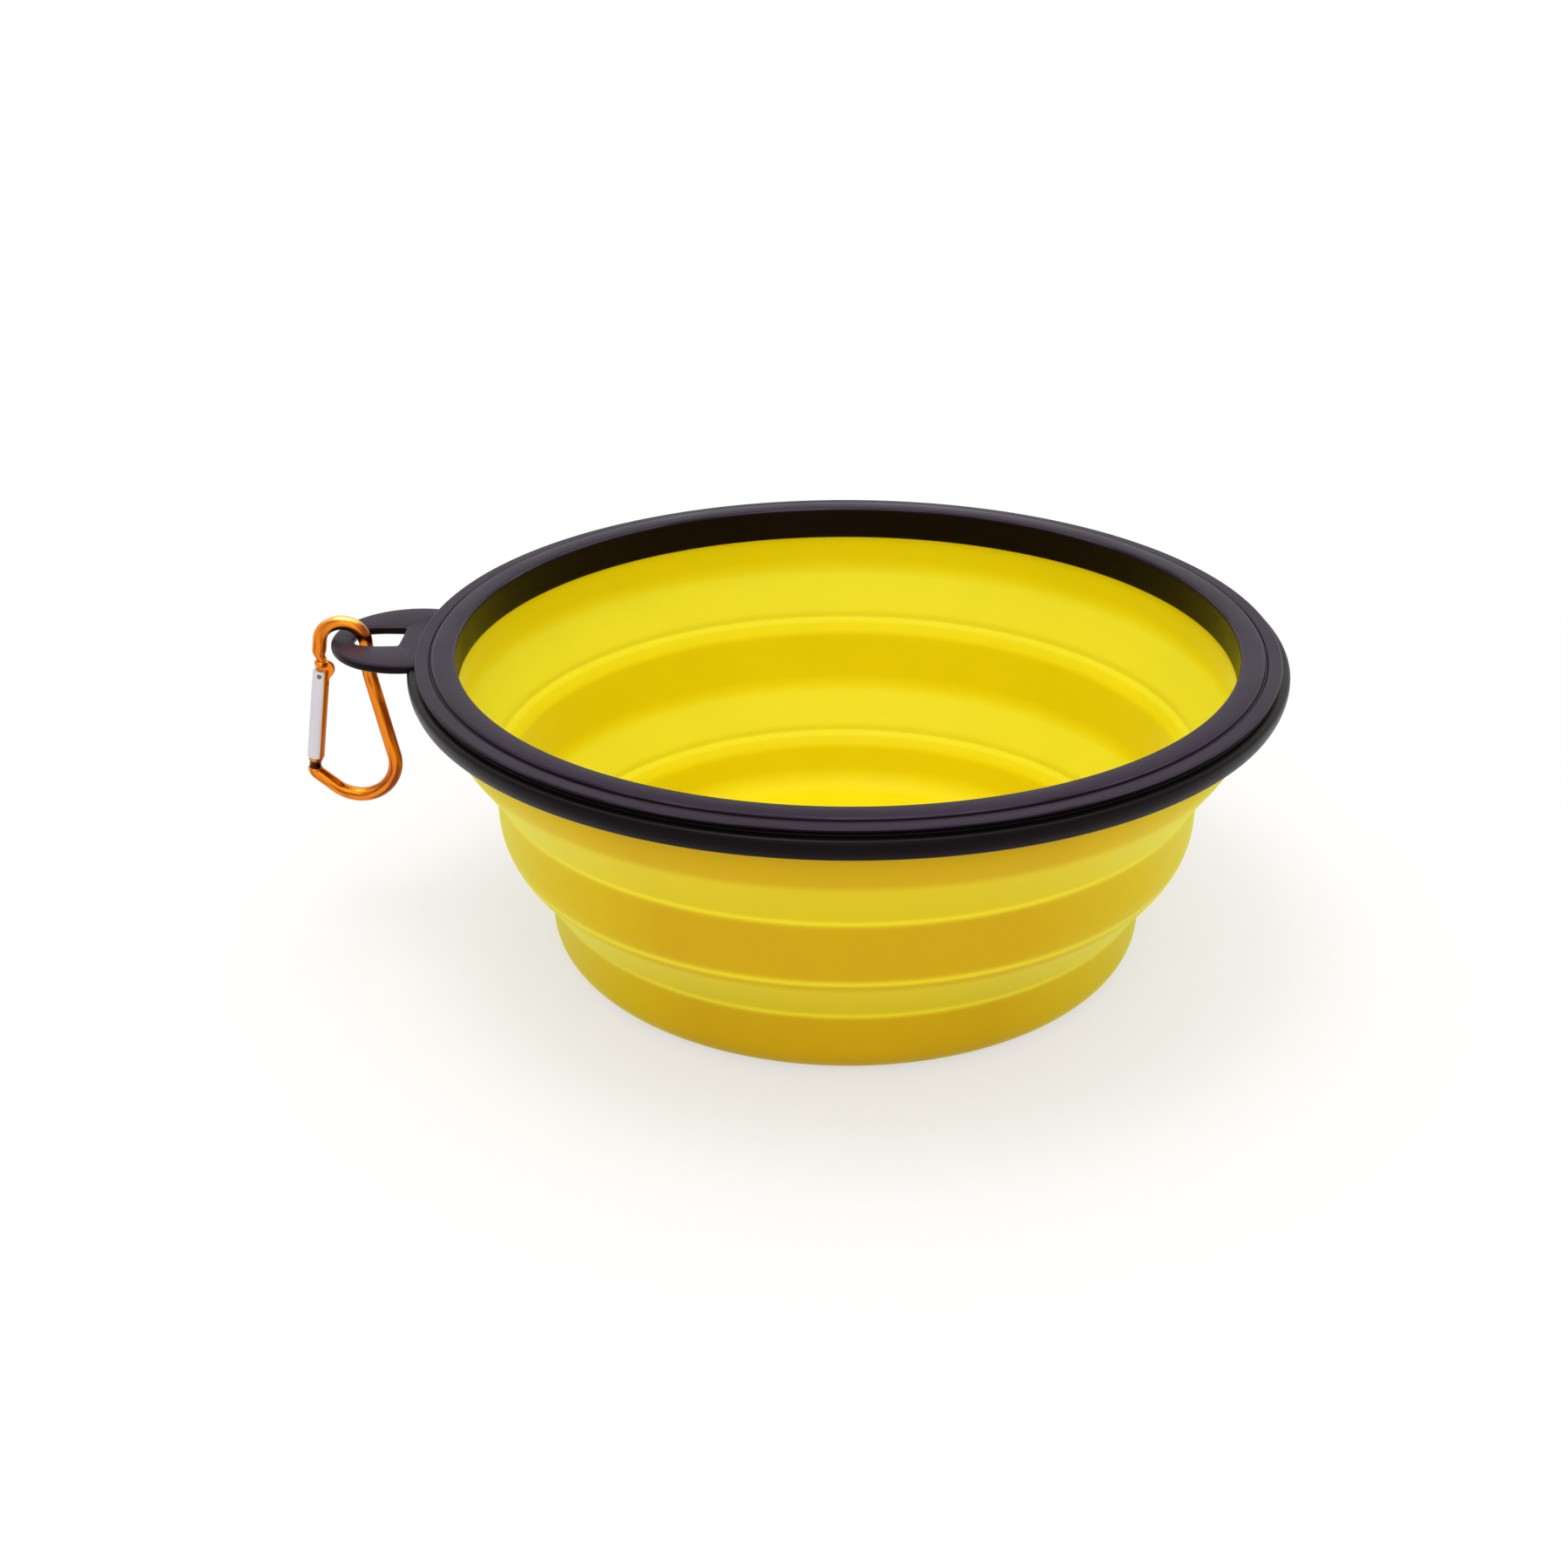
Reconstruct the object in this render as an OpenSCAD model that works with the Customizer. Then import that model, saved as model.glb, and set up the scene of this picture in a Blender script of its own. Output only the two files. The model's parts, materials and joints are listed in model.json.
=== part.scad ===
// Collapsible pet bowl: a stepped silicone bowl in a two-piece hard rim.
// Two thin folds between three stiff bands turn inside out to flatten the bowl.
// A small carabiner with a sprung gate hangs from the rim's loop.
// The origin is the centre of the resting face, +Z is up, and the loop is at -X.

/* [Bowl steps] */
// Inner radius of the mouth
mouth_r = 80; // [70:1:110]
// Height of the top band, from its lower edge to the mouth's top edge
upper_h = 13.4; // [11:0.2:24]
// Height of the upper fold, between the top band and the middle band
upper_fold_h = 13.7; // [9:0.1:20]
// Height of the middle band
middle_h = 13.2; // [8:0.2:24]
// Height of the lower fold, between the middle band and the base
lower_fold_h = 12.6; // [9:0.1:20]
// Height of the base band
base_h = 14.7; // [12:0.1:26]
// How far each fold steps in
step_in = 9.4; // [7:0.1:14]
// How far the middle band leans in from top to bottom
middle_lean = 0.6; // [0.1:0.1:1.5]
// How far the base band leans in from top to bottom
base_lean = 1.1; // [0.1:0.1:2]

/* [Silicone] */
// Wall of the stiff bands
band_t = 2.8; // [2.2:0.1:3.2]
// Wall of the thin folds
fold_t = 1.4; // [1:0.1:1.8]
// Thickness of the floor
floor_t = 3; // [2:0.1:4.5]
// Rounding where the base band meets the resting face
base_edge_r = 5.5; // [3:0.5:7]
// Rounding where the base band meets the floor inside
floor_edge_r = 5; // [3:0.5:7]
// Depth of the crease inside each fold's lower end
crease_depth = 0.4; // [0.2:0.05:0.6]
// Height of that crease
crease_h = 1.0; // [0.6:0.1:1.4]
// Depth of the ring groove under the base
foot_groove_depth = 0.6; // [0.3:0.1:1]
// Width of that ring groove
foot_groove_w = 5; // [3:0.5:8]
// Wall of the sealing lip that stands behind the rim's leg
seal_t = 2.0; // [1.5:0.1:2.5]
// Thickness of the flange that the rim clamps
flange_t = 1.7; // [1.2:0.1:2.4]
// How far that flange reaches out from the top band
flange_reach = 3.2; // [2:0.1:3.8]

/* [Rim rings] */
// Radial width of the whole rim
rim_w = 10; // [9.5:0.1:13]
// Radial width of the inner ring's head
head_w = 5.0; // [4.4:0.1:5.4]
// Height of the inner ring's head
head_h = 3.7; // [3.2:0.1:5]
// How far the head's top swells above the mouth's edge
crown_h = 0.3; // [0.1:0.05:0.6]
// Wall of the leg that lines the mouth
leg_t = 1.3; // [1:0.1:1.8]
// How far that leg reaches below the clamped flange's top
leg_reach = 3.7; // [2.8:0.1:4.5]
// Width of the dark seam between the two rings
seam_w = 0.5; // [0.3:0.05:0.8]
// How far the outer ring's top lies below the mouth's edge
ring_drop = 0.5; // [0.2:0.1:0.9]
// Thickness of the outer ring's top edge
edge_t = 0.8; // [0.6:0.05:1.2]
// How far the bead stands out past the top edge
bead_out = 1.7; // [0.5:0.1:2]
// Depth of the side groove under the top edge
side_groove_depth = 0.5; // [0.2:0.05:0.8]
// Height of that side groove
side_groove_h = 0.7; // [0.4:0.1:1]
// Thickness of the lip under the clamped flange
under_lip_t = 0.9; // [0.6:0.1:1.4]

/* [Hang loop] */
// Radius of the loop's outer edge
loop_r = 16.3; // [15:0.1:22]
// How far the loop's centre lies outside the rim
loop_offset = 0.7; // [0:0.1:2]
// Thickness of the loop
loop_t = 2.0; // [1.6:0.1:2.2]
// How far the loop's top lies below the mouth's edge
loop_drop = 1.2; // [1:0.1:1.6]
// Width of the bar at the loop's tip
bar_w = 4.7; // [4:0.1:5.5]
// Width of the slot
slot_w = 10.4; // [8:0.1:14]
// Distance from the rim to the slot
slot_gap = 2.4; // [1.5:0.1:4]
// Rounding of the slot's corners near the rim
slot_corner_r = 1.5; // [0.5:0.1:2.5]

/* [Carabiner] */
// Diameter of the rod
rod_d = 3.0; // [2.6:0.1:3.4]
// Radius of the wide bend, along the rod's middle
bend_r = 8.05; // [7.6:0.05:9.5]
// Height from the wide bend's centre to the hook's centre
bend_drop = 27.2; // [26:0.1:32]
// Length of the straight rod below the hook, on the spine side
neck_len = 4.5; // [2:0.1:6]
// Radius of the soft knee in the spine
knee_r = 20; // [12:1:26]
// Lean of the gate and of the rod end that carries it
gate_lean = 9.3; // [7:0.1:10]
// Length of rod from the hook to the gate's shoulder
shoulder_s = 4; // [3.6:0.1:6]
// Gap between the shoulder and the gate
shoulder_gap = 2.8; // [2.6:0.1:3]
// Thickness of the round stop above the gate
stop_t = 1.1; // [0.9:0.05:1.2]
// Gap between the stop and the gate, which the gate's corner swings through
stop_gap = 0.8; // [0.75:0.05:0.9]
// Length of the gate
gate_len = 20.4; // [19:0.1:21]
// Diameter of the gate
gate_d = 3.6; // [3.4:0.1:4]
// Distance from the gate's upper end to its rivet
rivet_inset = 1.1; // [1:0.05:1.7]
// Diameter of the rivet
rivet_d = 1.0; // [0.8:0.05:1.1]
// Thickness of the tongue that the gate turns on
tongue_t = 1.2; // [1:0.05:1.4]
// Radius of the tongue's lug, which shows on the gate's inner side
lug_r = 1.9; // [1.8:0.05:2]
// Thickness of the latch head that the gate shuts on
latch_head_t = 0.8; // [0.6:0.05:1.1]
// Height of the notch under the latch head
latch_notch_h = 1.7; // [1.2:0.05:2]
// Length of the rod's straight end below the notch
nose_len = 0.5; // [0.3:0.05:0.8]
// Height of the blade that enters the gate's lower end
blade_h = 1.4; // [1:0.1:1.8]
// Thickness of that blade
blade_t = 0.9; // [0.7:0.05:1.1]
// Wire diameter of the gate's spring
wire_d = 0.3; // [0.25:0.01:0.35]
// Outside diameter of the spring
spring_d = 1.8; // [1.6:0.05:2]
// Number of turns in the spring
spring_turns = 7; // [5:1:9]

/* [Hidden] */
$fn = 96;
// Overrun of every cut past the face that it opens
over = 0.5;
// How much the rod's joins stand out, where a straight meets a bend
join_swell = 0.03;
// Room between pieces that are pushed together
fit = 0.1;
// Room round the rivet in the tongue
rivet_play = 0.05;
// Room on each side of the tongue and the blade in their slits
slit_play = 0.12;
// Room between the gate and the latch head
latch_play = 0.15;
// Steps of each rounded corner
corner_steps = 5;
// Largest share of a side that a rounding may take
corner_share = 0.49;

// Heights of the steps, from the resting face up
lower_fold_z = base_h;
middle_z = lower_fold_z + lower_fold_h;
upper_fold_z = middle_z + middle_h;
upper_z = upper_fold_z + upper_fold_h;
mouth_z = upper_z + upper_h;

// Outer radii of the bands
upper_r = mouth_r + leg_t + fit + seal_t;
middle_top_r = upper_r - step_in;
middle_low_r = middle_top_r - middle_lean;
base_top_r = middle_low_r - step_in;
base_low_r = base_top_r - base_lean;

// Rim
rim_r = mouth_r + rim_w;
head_r = mouth_r + head_w;
ring_in_r = head_r + seam_w;
edge_r = rim_r - bead_out;
side_groove_r = edge_r - side_groove_depth;
flange_r = upper_r + flange_reach;
flange_z = mouth_z - head_h - flange_t;
rim_low_z = flange_z - under_lip_t;
bead_top_z = mouth_z - ring_drop - edge_t - side_groove_h;
head_edge_r = head_w * 0.12;
bead_edge_r = under_lip_t;

// Hang loop and the carabiner's swing axis
loop_x = rim_r + loop_offset;
loop_tip = loop_x + loop_r;
slot_near = rim_r + slot_gap;
slot_far = loop_tip - bar_w;
hook_play = bar_w * 0.13;
hook_r = bar_w / 2 + hook_play + rod_d / 2;
swing_x = -(loop_tip - bar_w / 2);
swing_z = mouth_z - loop_drop - loop_t / 2 - hook_play;

// Carabiner outline, in a plane whose origin is the hook's centre
bend_c = [hook_play / 3, -bend_drop];
knee_c = [hook_r + knee_r, -neck_len];
knee_to_bend = bend_c - knee_c;
spine_angle = atan2(knee_to_bend.y, knee_to_bend.x) + asin((knee_r + bend_r) / norm(knee_to_bend));
spine_out = [-sin(spine_angle), cos(spine_angle)];
spine_top = knee_c - knee_r * spine_out;
spine_low = bend_c + bend_r * spine_out;
gate_dir = [-sin(gate_lean), -cos(gate_lean)];
strand_top = hook_r * [-cos(gate_lean), sin(gate_lean)];
gate_top_s = shoulder_s + shoulder_gap;
rivet_s = gate_top_s + rivet_inset;
gate_end_s = gate_top_s + gate_len;
head_s = gate_end_s + latch_play;
notch_s = head_s + latch_head_t;
nose_s = notch_s + latch_notch_h;
nose = strand_top + (nose_s + nose_len) * gate_dir;
nose_to_bend = bend_c - nose;
nose_angle = atan2(nose_to_bend.y, nose_to_bend.x) + 180 + acos(bend_r / norm(nose_to_bend));
nose_foot = bend_c + bend_r * [cos(nose_angle), sin(nose_angle)];
neck_r = rod_d * 0.42;
eye_r = lug_r * 0.8;
lug = [lug_r * 0.47, lug_r * 0.68];
heel_r = lug_r * 0.65;
heel = [lug_r * 0.45, -lug_r * 0.05];
neck_w = lug_r * 1.2;
slit_depth = rivet_inset + norm(heel) + heel_r + slit_play;
bore_top_s = rivet_inset + heel_r - heel.y + slit_play;
spring_top_s = bore_top_s + wire_d;
spring_len = gate_len * 0.3;
bore_end_s = spring_top_s + spring_len;
blade_w = gate_d * 0.4;

function unit(v) = v / norm(v);

// The arc that rounds the corner b, between a and c, with the radius r
function corner(a, b, c, r) =
    let (
        p = unit(a - b),
        q = unit(c - b),
        half = acos(p * q) / 2,
        back = min(r / tan(half), norm(a - b) * corner_share, norm(c - b) * corner_share),
        centre = b + unit(p + q) * back / cos(half),
        from = b + p * back - centre,
        to = b + q * back - centre
    )
    r <= 0 ? [b] :
    [for (i = [0 : corner_steps])
        centre + unit(from + (to - from) * i / corner_steps) * norm(from)];

// A closed outline with each corner rounded by its own radius
function rounded(pts, radii) =
    let (n = len(pts))
    [for (i = [0 : n - 1])
        each corner(pts[(i + n - 1) % n], pts[i], pts[(i + 1) % n], radii[i])];

// The radius at the height z on the line from low to high
function along(low, high, z) = low.x + (high.x - low.x) * (z - low.y) / (high.y - low.y);

// The inner face of a fold: its outer line moved in by the fold's wall
function fold_in(low, high) =
    let (d = unit(high - low), n = [-d.y, d.x])
    [low + n * fold_t, high + n * fold_t];

// The height at which the fold's inner face reaches the radius r
function fold_in_z(low, high, r) =
    let (f = fold_in(low, high))
    f[0].y + (f[1].y - f[0].y) * (r - f[0].x) / (f[1].x - f[0].x);

// A fold in section, from its lower corner to its upper corner, with the crease inside
module fold_outline(low, high) {
    inner = fold_in(low, high);
    in_r = high.x - band_t;
    crease_z = low.y + crease_h;
    polygon([
        low,
        high,
        [in_r, high.y],
        [in_r, fold_in_z(low, high, in_r)],
        [along(inner[0], inner[1], crease_z + crease_h / 2), crease_z + crease_h / 2],
        [along(inner[0], inner[1], crease_z) + crease_depth, crease_z],
        [along(inner[0], inner[1], crease_z - crease_h / 2), crease_z - crease_h / 2],
        [along(inner[0], inner[1], low.y), low.y]
    ]);
}

// The straight rod between two points of the carabiner's plane, with a thin collar that joins it at each end
module rod(a, b) {
    collar_h = 3 * fit;
    translate(a)
        rotate([0, 0, atan2((b - a).y, (b - a).x)])
            rotate([0, 90, 0]) {
                translate([0, 0, fit])
                    cylinder(h = norm(b - a) - 2 * fit, d = rod_d, $fn = 48);
                for (z = [0, norm(b - a)])
                    translate([0, 0, z - collar_h / 2])
                        cylinder(h = collar_h, d = rod_d + 2 * join_swell, $fn = 48);
            }
}

// A bend of the rod in the carabiner's plane, from one angle through a turn
module rod_bend(c, r, start, turn) {
    translate(c)
        rotate([0, 0, start])
            rotate_extrude(angle = turn)
                translate([r, 0])
                    circle(d = rod_d, $fn = 48);
}

// Stands the carabiner's plane upright at the swing axis
module in_carabiner_plane() {
    translate([swing_x, 0, swing_z])
        rotate([90, 0, 0])
            children();
}

// Places a child at the distance s along the gate's line, with +Y back towards the hook
module on_gate_line(s) {
    translate(strand_top + s * gate_dir)
        rotate([0, 0, -gate_lean])
            children();
}

// A round bar along the gate's line, over a length that runs away from the hook
module gate_bar(len, d) {
    rotate([90, 0, 0])
        cylinder(h = len, d = d, $fn = 48);
}

// A centred block that cuts a slit: its width, its length and its thickness
module slit(w, len, t) {
    translate([-w / 2, 0, -t / 2])
        cube([w, len, t]);
}

module rim_outer_ring() {
    color("#45404a")
    difference() {
        union() {
            rotate_extrude()
                polygon(rounded(
                    [
                        [ring_in_r, mouth_z - ring_drop],
                        [edge_r, mouth_z - ring_drop],
                        [edge_r, mouth_z - ring_drop - edge_t],
                        [side_groove_r, mouth_z - ring_drop - edge_t],
                        [side_groove_r, bead_top_z],
                        [rim_r, bead_top_z],
                        [rim_r, rim_low_z],
                        [upper_r + fit, rim_low_z],
                        [upper_r + fit, flange_z],
                        [flange_r + fit, flange_z],
                        [flange_r + fit, mouth_z - head_h],
                        [ring_in_r, mouth_z - head_h]
                    ],
                    [edge_t / 2, edge_t / 2, 0, 0, 0, edge_t / 2, bead_edge_r, 0, 0, 0, 0, 0]
                ));
            hang_loop_plate();
        }
        hang_loop_slot();
    }
}

// The loop's round plate, cut away where the ring's own section begins
module hang_loop_plate() {
    edge = loop_t * 0.35;
    difference() {
        translate([-loop_x, 0, mouth_z - loop_drop - loop_t])
            rotate_extrude()
                polygon(rounded(
                    [[0, 0], [loop_r, 0], [loop_r, loop_t], [0, loop_t]],
                    [0, edge, edge, 0]
                ));
        translate([0, 0, rim_low_z])
            cylinder(h = mouth_z - rim_low_z, r = side_groove_r - over);
    }
}

// The slot: straight near the rim, and round at the tip, so that the bar keeps its width
module hang_loop_slot() {
    far = slot_far + 2 * slot_corner_r;
    long = far - slot_near;
    low = mouth_z - loop_drop - loop_t - over;
    intersection() {
        translate([-far, -slot_w / 2, low])
            linear_extrude(height = loop_t + 2 * over) {
                translate([slot_corner_r, 0])
                    square([long - 2 * slot_corner_r, slot_w]);
                translate([0, slot_corner_r])
                    square([long, slot_w - 2 * slot_corner_r]);
                for (x = [slot_corner_r, long - slot_corner_r], y = [slot_corner_r, slot_w - slot_corner_r])
                    translate([x, y])
                        circle(r = slot_corner_r, $fn = 48);
            }
        translate([-loop_x, 0, low - over])
            cylinder(h = loop_t + 4 * over, r = loop_r - bar_w);
    }
}

module rim_inner_ring() {
    leg_low_z = mouth_z - head_h - leg_reach;
    snap_r = ring_in_r - fit / 2;
    snap_z = mouth_z - head_h * 0.55;
    snap_top_z = snap_z + seam_w;
    snap_low_z = snap_z - seam_w;
    color("#3f3a44")
    rotate_extrude()
        polygon(rounded(
            [
                [mouth_r, mouth_z],
                [mouth_r + head_w / 2, mouth_z + crown_h],
                [head_r, mouth_z],
                [head_r, snap_top_z],
                [snap_r, snap_z],
                [head_r, snap_low_z],
                [head_r, mouth_z - head_h],
                [mouth_r + leg_t, mouth_z - head_h],
                [mouth_r + leg_t, leg_low_z],
                [mouth_r, leg_low_z]
            ],
            [head_edge_r, head_w, head_edge_r, 0, 0, 0, 0, 0, leg_t / 3, leg_t / 3]
        ));
}

module upper_band() {
    seat_z = mouth_z - head_h - leg_reach - fit;
    color("#e6cb1e")
    rotate_extrude()
        polygon([
            [upper_r, upper_z],
            [upper_r, flange_z],
            [flange_r, flange_z],
            [flange_r, flange_z + flange_t],
            [upper_r - seal_t, flange_z + flange_t],
            [upper_r - seal_t, seat_z],
            [upper_r - band_t, seat_z],
            [upper_r - band_t, upper_z]
        ]);
}

module upper_fold() {
    color("#efdc2c")
    rotate_extrude()
        fold_outline([middle_top_r, upper_fold_z], [upper_r, upper_z]);
}

module middle_band() {
    low = [middle_top_r, upper_fold_z];
    high = [upper_r, upper_z];
    inner = fold_in(low, high);
    in_r = middle_top_r - band_t;
    color("#e6cb1e")
    rotate_extrude()
        polygon([
            [middle_low_r, middle_z],
            low,
            [along(inner[0], inner[1], upper_fold_z), upper_fold_z],
            [in_r, fold_in_z(low, high, in_r)],
            [middle_low_r - band_t, middle_z]
        ]);
}

module lower_fold() {
    color("#efdc2c")
    rotate_extrude()
        fold_outline([base_top_r, lower_fold_z], [middle_low_r, middle_z]);
}

module base_cup() {
    low = [base_top_r, lower_fold_z];
    high = [middle_low_r, middle_z];
    inner = fold_in(low, high);
    in_r = base_top_r - band_t;
    groove_r = base_low_r - base_edge_r - foot_groove_w;
    color("#e6cb1e")
    difference() {
        rotate_extrude()
            polygon(rounded(
                [
                    [0, 0],
                    [base_low_r, 0],
                    low,
                    [along(inner[0], inner[1], lower_fold_z), lower_fold_z],
                    [in_r, fold_in_z(low, high, in_r)],
                    [base_low_r - band_t, floor_t],
                    [0, floor_t]
                ],
                [0, base_edge_r, 0, 0, 0, floor_edge_r, 0]
            ));
        rotate_extrude()
            translate([groove_r - foot_groove_w, -over])
                square([foot_groove_w, foot_groove_depth + over]);
    }
}

module carabiner_body() {
    spine_lean = atan2(spine_out.y, spine_out.x);
    nose_way = unit(nose - nose_foot);
    nose_mitre = rod_d / 2 * tan(acos(-nose_way * gate_dir) / 2) - join_swell;
    color("#ee8a1d")
    in_carabiner_plane()
    difference() {
        union() {
            rod_bend([0, 0], hook_r, 0, 180 - gate_lean);
            rod([hook_r, -neck_len], [hook_r, 0]);
            rod_bend(knee_c, knee_r, 180, spine_lean);
            rod(spine_top, spine_low);
            rod_bend(bend_c, bend_r, nose_angle, 360 + spine_lean - nose_angle);
            difference() {
                rod(nose_foot, nose + nose_mitre * nose_way);
                on_gate_line(nose_s)
                    slit(rod_d * 2, rod_d * 2, rod_d * 2);
            }
            on_gate_line(nose_s)
                gate_bar(nose_len + nose_mitre, rod_d + 4 * join_swell);
            rod(strand_top, strand_top + shoulder_s * gate_dir);
            gate_tongue();
            latch();
        }
        on_gate_line(rivet_s)
            translate([0, 0, -rod_d])
                cylinder(h = 2 * rod_d, d = rivet_d + 2 * rivet_play, $fn = 48);
    }
}

// The flat tongue inside the gate's fork: an eye, a lug, the heel that the spring presses on, and a round stop
module gate_tongue() {
    on_gate_line(rivet_s)
        translate([0, 0, -tongue_t / 2])
            linear_extrude(height = tongue_t) {
                circle(r = eye_r, $fn = 48);
                translate(lug)
                    circle(r = lug_r, $fn = 48);
                translate(heel)
                    circle(r = heel_r, $fn = 48);
                translate([lug_r * 0.1 - neck_w / 2, 0])
                    square([neck_w, rivet_s - shoulder_s + over]);
            }
    on_gate_line(gate_top_s - stop_gap - stop_t)
        gate_bar(stop_t, rod_d);
}

// The notched end that the gate shuts on: a neck, a round head and a flat blade
module latch() {
    on_gate_line(nose_s + over)
        rotate([-90, 0, 0])
            cylinder(h = latch_notch_h + 2 * over, r = neck_r, $fn = 48);
    on_gate_line(notch_s)
        rotate([-90, 0, 0])
            cylinder(h = latch_head_t, d = rod_d, $fn = 48);
    on_gate_line(head_s)
        translate([-blade_w / 2, -over, -blade_t / 2])
            cube([blade_w, blade_h + over, blade_t]);
}

module carabiner_gate() {
    tongue_slit_t = tongue_t + 2 * slit_play;
    blade_slit_t = blade_t + 2 * slit_play;
    blade_slit_w = gate_d / 2 + blade_w / 2 + slit_play;
    color("#cdc9d0")
    in_carabiner_plane()
    difference() {
        on_gate_line(gate_top_s)
            gate_bar(gate_len, gate_d);
        on_gate_line(gate_top_s + slit_depth)
            slit(gate_d + 2 * over, slit_depth + over, tongue_slit_t);
        on_gate_line(gate_end_s)
            translate([-gate_d / 2 - over, -over, -blade_slit_t / 2])
                cube([blade_slit_w + over, blade_h + 2 * over, blade_slit_t]);
        on_gate_line(gate_top_s + bore_top_s)
            gate_bar(bore_end_s - bore_top_s, spring_d + 2 * fit);
        on_gate_line(rivet_s)
            translate([0, 0, -gate_d])
                cylinder(h = 2 * gate_d, d = rivet_d, $fn = 48);
    }
}

module gate_rivet() {
    proud = fit;
    color("#6f6c73")
    in_carabiner_plane()
        on_gate_line(rivet_s)
            translate([0, 0, -gate_d / 2 - proud])
                cylinder(h = gate_d + 2 * proud, d = rivet_d, $fn = 48);
}

// The spring as one wire carried round a helix
module gate_spring() {
    turn_steps = 14;
    sides = 6;
    coil_r = (spring_d - wire_d) / 2;
    rise = spring_len - wire_d - fit;
    rings = spring_turns * turn_steps;
    pitch_angle = atan2(rise / spring_turns, 360 * coil_r * PI / 180);
    points = [for (i = [0 : rings], k = [0 : sides - 1])
        let (
            turn = 360 * i / turn_steps,
            side = 360 * k / sides,
            out = cos(side) * wire_d / 2,
            up = sin(side) * wire_d / 2,
            away = [cos(turn), sin(turn)] * (coil_r + out),
            lean = [sin(turn), -cos(turn)] * up * sin(pitch_angle)
        )
        [away.x + lean.x, away.y + lean.y, rise * i / rings + up * cos(pitch_angle)]];
    walls = [for (i = [0 : rings - 1], k = [0 : sides - 1])
        let (n = (k + 1) % sides, a = i * sides)
        [a + k, a + sides + k, a + sides + n, a + n]];
    first = [for (k = [0 : sides - 1]) k];
    last = [for (k = [sides - 1 : -1 : 0]) rings * sides + k];
    color("#8f9196")
    in_carabiner_plane()
        on_gate_line(gate_top_s + spring_top_s + rise + wire_d / 2)
            rotate([-90, 0, 0])
                polyhedron(points, concat(walls, [first, last]));
}

rim_outer_ring();
rim_inner_ring();
upper_band();
upper_fold();
middle_band();
lower_fold();
base_cup();
carabiner_body();
carabiner_gate();
gate_rivet();
gate_spring();
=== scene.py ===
"""The looks of a folding pet bowl: a stepped silicone bowl in a two-piece hard rim, with a small carabiner.

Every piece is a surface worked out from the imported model's boxes and joints and from the sizes in the
property groups, in metres, with +Z up and the middle of the base at the origin. Only the gate is a softened
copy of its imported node, and its spring is shown as packed.
"""

import json
import math

import bmesh
import bpy
import numpy as np
from mathutils import Matrix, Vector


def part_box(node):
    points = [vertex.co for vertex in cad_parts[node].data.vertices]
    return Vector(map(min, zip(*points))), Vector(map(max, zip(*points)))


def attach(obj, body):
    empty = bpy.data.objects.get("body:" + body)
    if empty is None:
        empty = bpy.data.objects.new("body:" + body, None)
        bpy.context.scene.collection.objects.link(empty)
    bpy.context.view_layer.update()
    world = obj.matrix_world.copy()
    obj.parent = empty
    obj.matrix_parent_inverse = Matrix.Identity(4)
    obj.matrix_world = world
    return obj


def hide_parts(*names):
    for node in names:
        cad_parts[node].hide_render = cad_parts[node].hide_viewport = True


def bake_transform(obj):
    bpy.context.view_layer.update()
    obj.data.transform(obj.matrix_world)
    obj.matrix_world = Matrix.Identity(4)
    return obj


bl_info = {
    "name": "Folding Pet Bowl",
    "version": (1, 0, 0),
    "blender": (4, 5, 0),
    "location": "View3D > Sidebar > Pet Bowl",
    "description": "Builds the surfaces, finishes and stage of a folding pet bowl on its packed model",
    "category": "Add Mesh",
}

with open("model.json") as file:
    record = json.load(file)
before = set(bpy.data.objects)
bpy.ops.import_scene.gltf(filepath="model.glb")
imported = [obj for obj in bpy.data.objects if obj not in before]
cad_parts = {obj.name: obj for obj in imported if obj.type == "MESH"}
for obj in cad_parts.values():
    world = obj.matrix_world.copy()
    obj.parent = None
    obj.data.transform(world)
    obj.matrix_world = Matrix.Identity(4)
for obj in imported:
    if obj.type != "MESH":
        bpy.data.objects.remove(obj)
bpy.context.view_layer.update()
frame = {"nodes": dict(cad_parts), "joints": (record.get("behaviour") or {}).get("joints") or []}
MM = 0.001
# Steps round each turned piece, and round each bar of the carabiner
AROUND = 360
BAR_SIDES = 40
# Where most values of a noise lie
NOISE_SPAN = (0.3, 0.7)
WHITE = (1.0, 1.0, 1.0)


def length(name, text, millimetres, low, high):
    """A length property with its default in millimetres."""
    return bpy.props.FloatProperty(
        name=name, description=text, default=millimetres * MM, min=low * MM, max=high * MM,
        precision=5, unit="LENGTH",
    )


def angle(name, text, degrees, low=-30.0, high=90.0):
    """An angle property with its default in degrees."""
    return bpy.props.FloatProperty(
        name=name, description=text, default=math.radians(degrees), min=math.radians(low),
        max=math.radians(high), subtype="ANGLE",
    )


def share(name, text, value, low=0.0, high=1.0):
    """A plain number property, such as a roughness or a mix."""
    return bpy.props.FloatProperty(name=name, description=text, default=value, min=low, max=high)


def colour(name, text, value):
    """A linear colour property."""
    return bpy.props.FloatVectorProperty(
        name=name, description=text, default=value, size=3, min=0.0, max=1.0, subtype="COLOR"
    )


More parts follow.
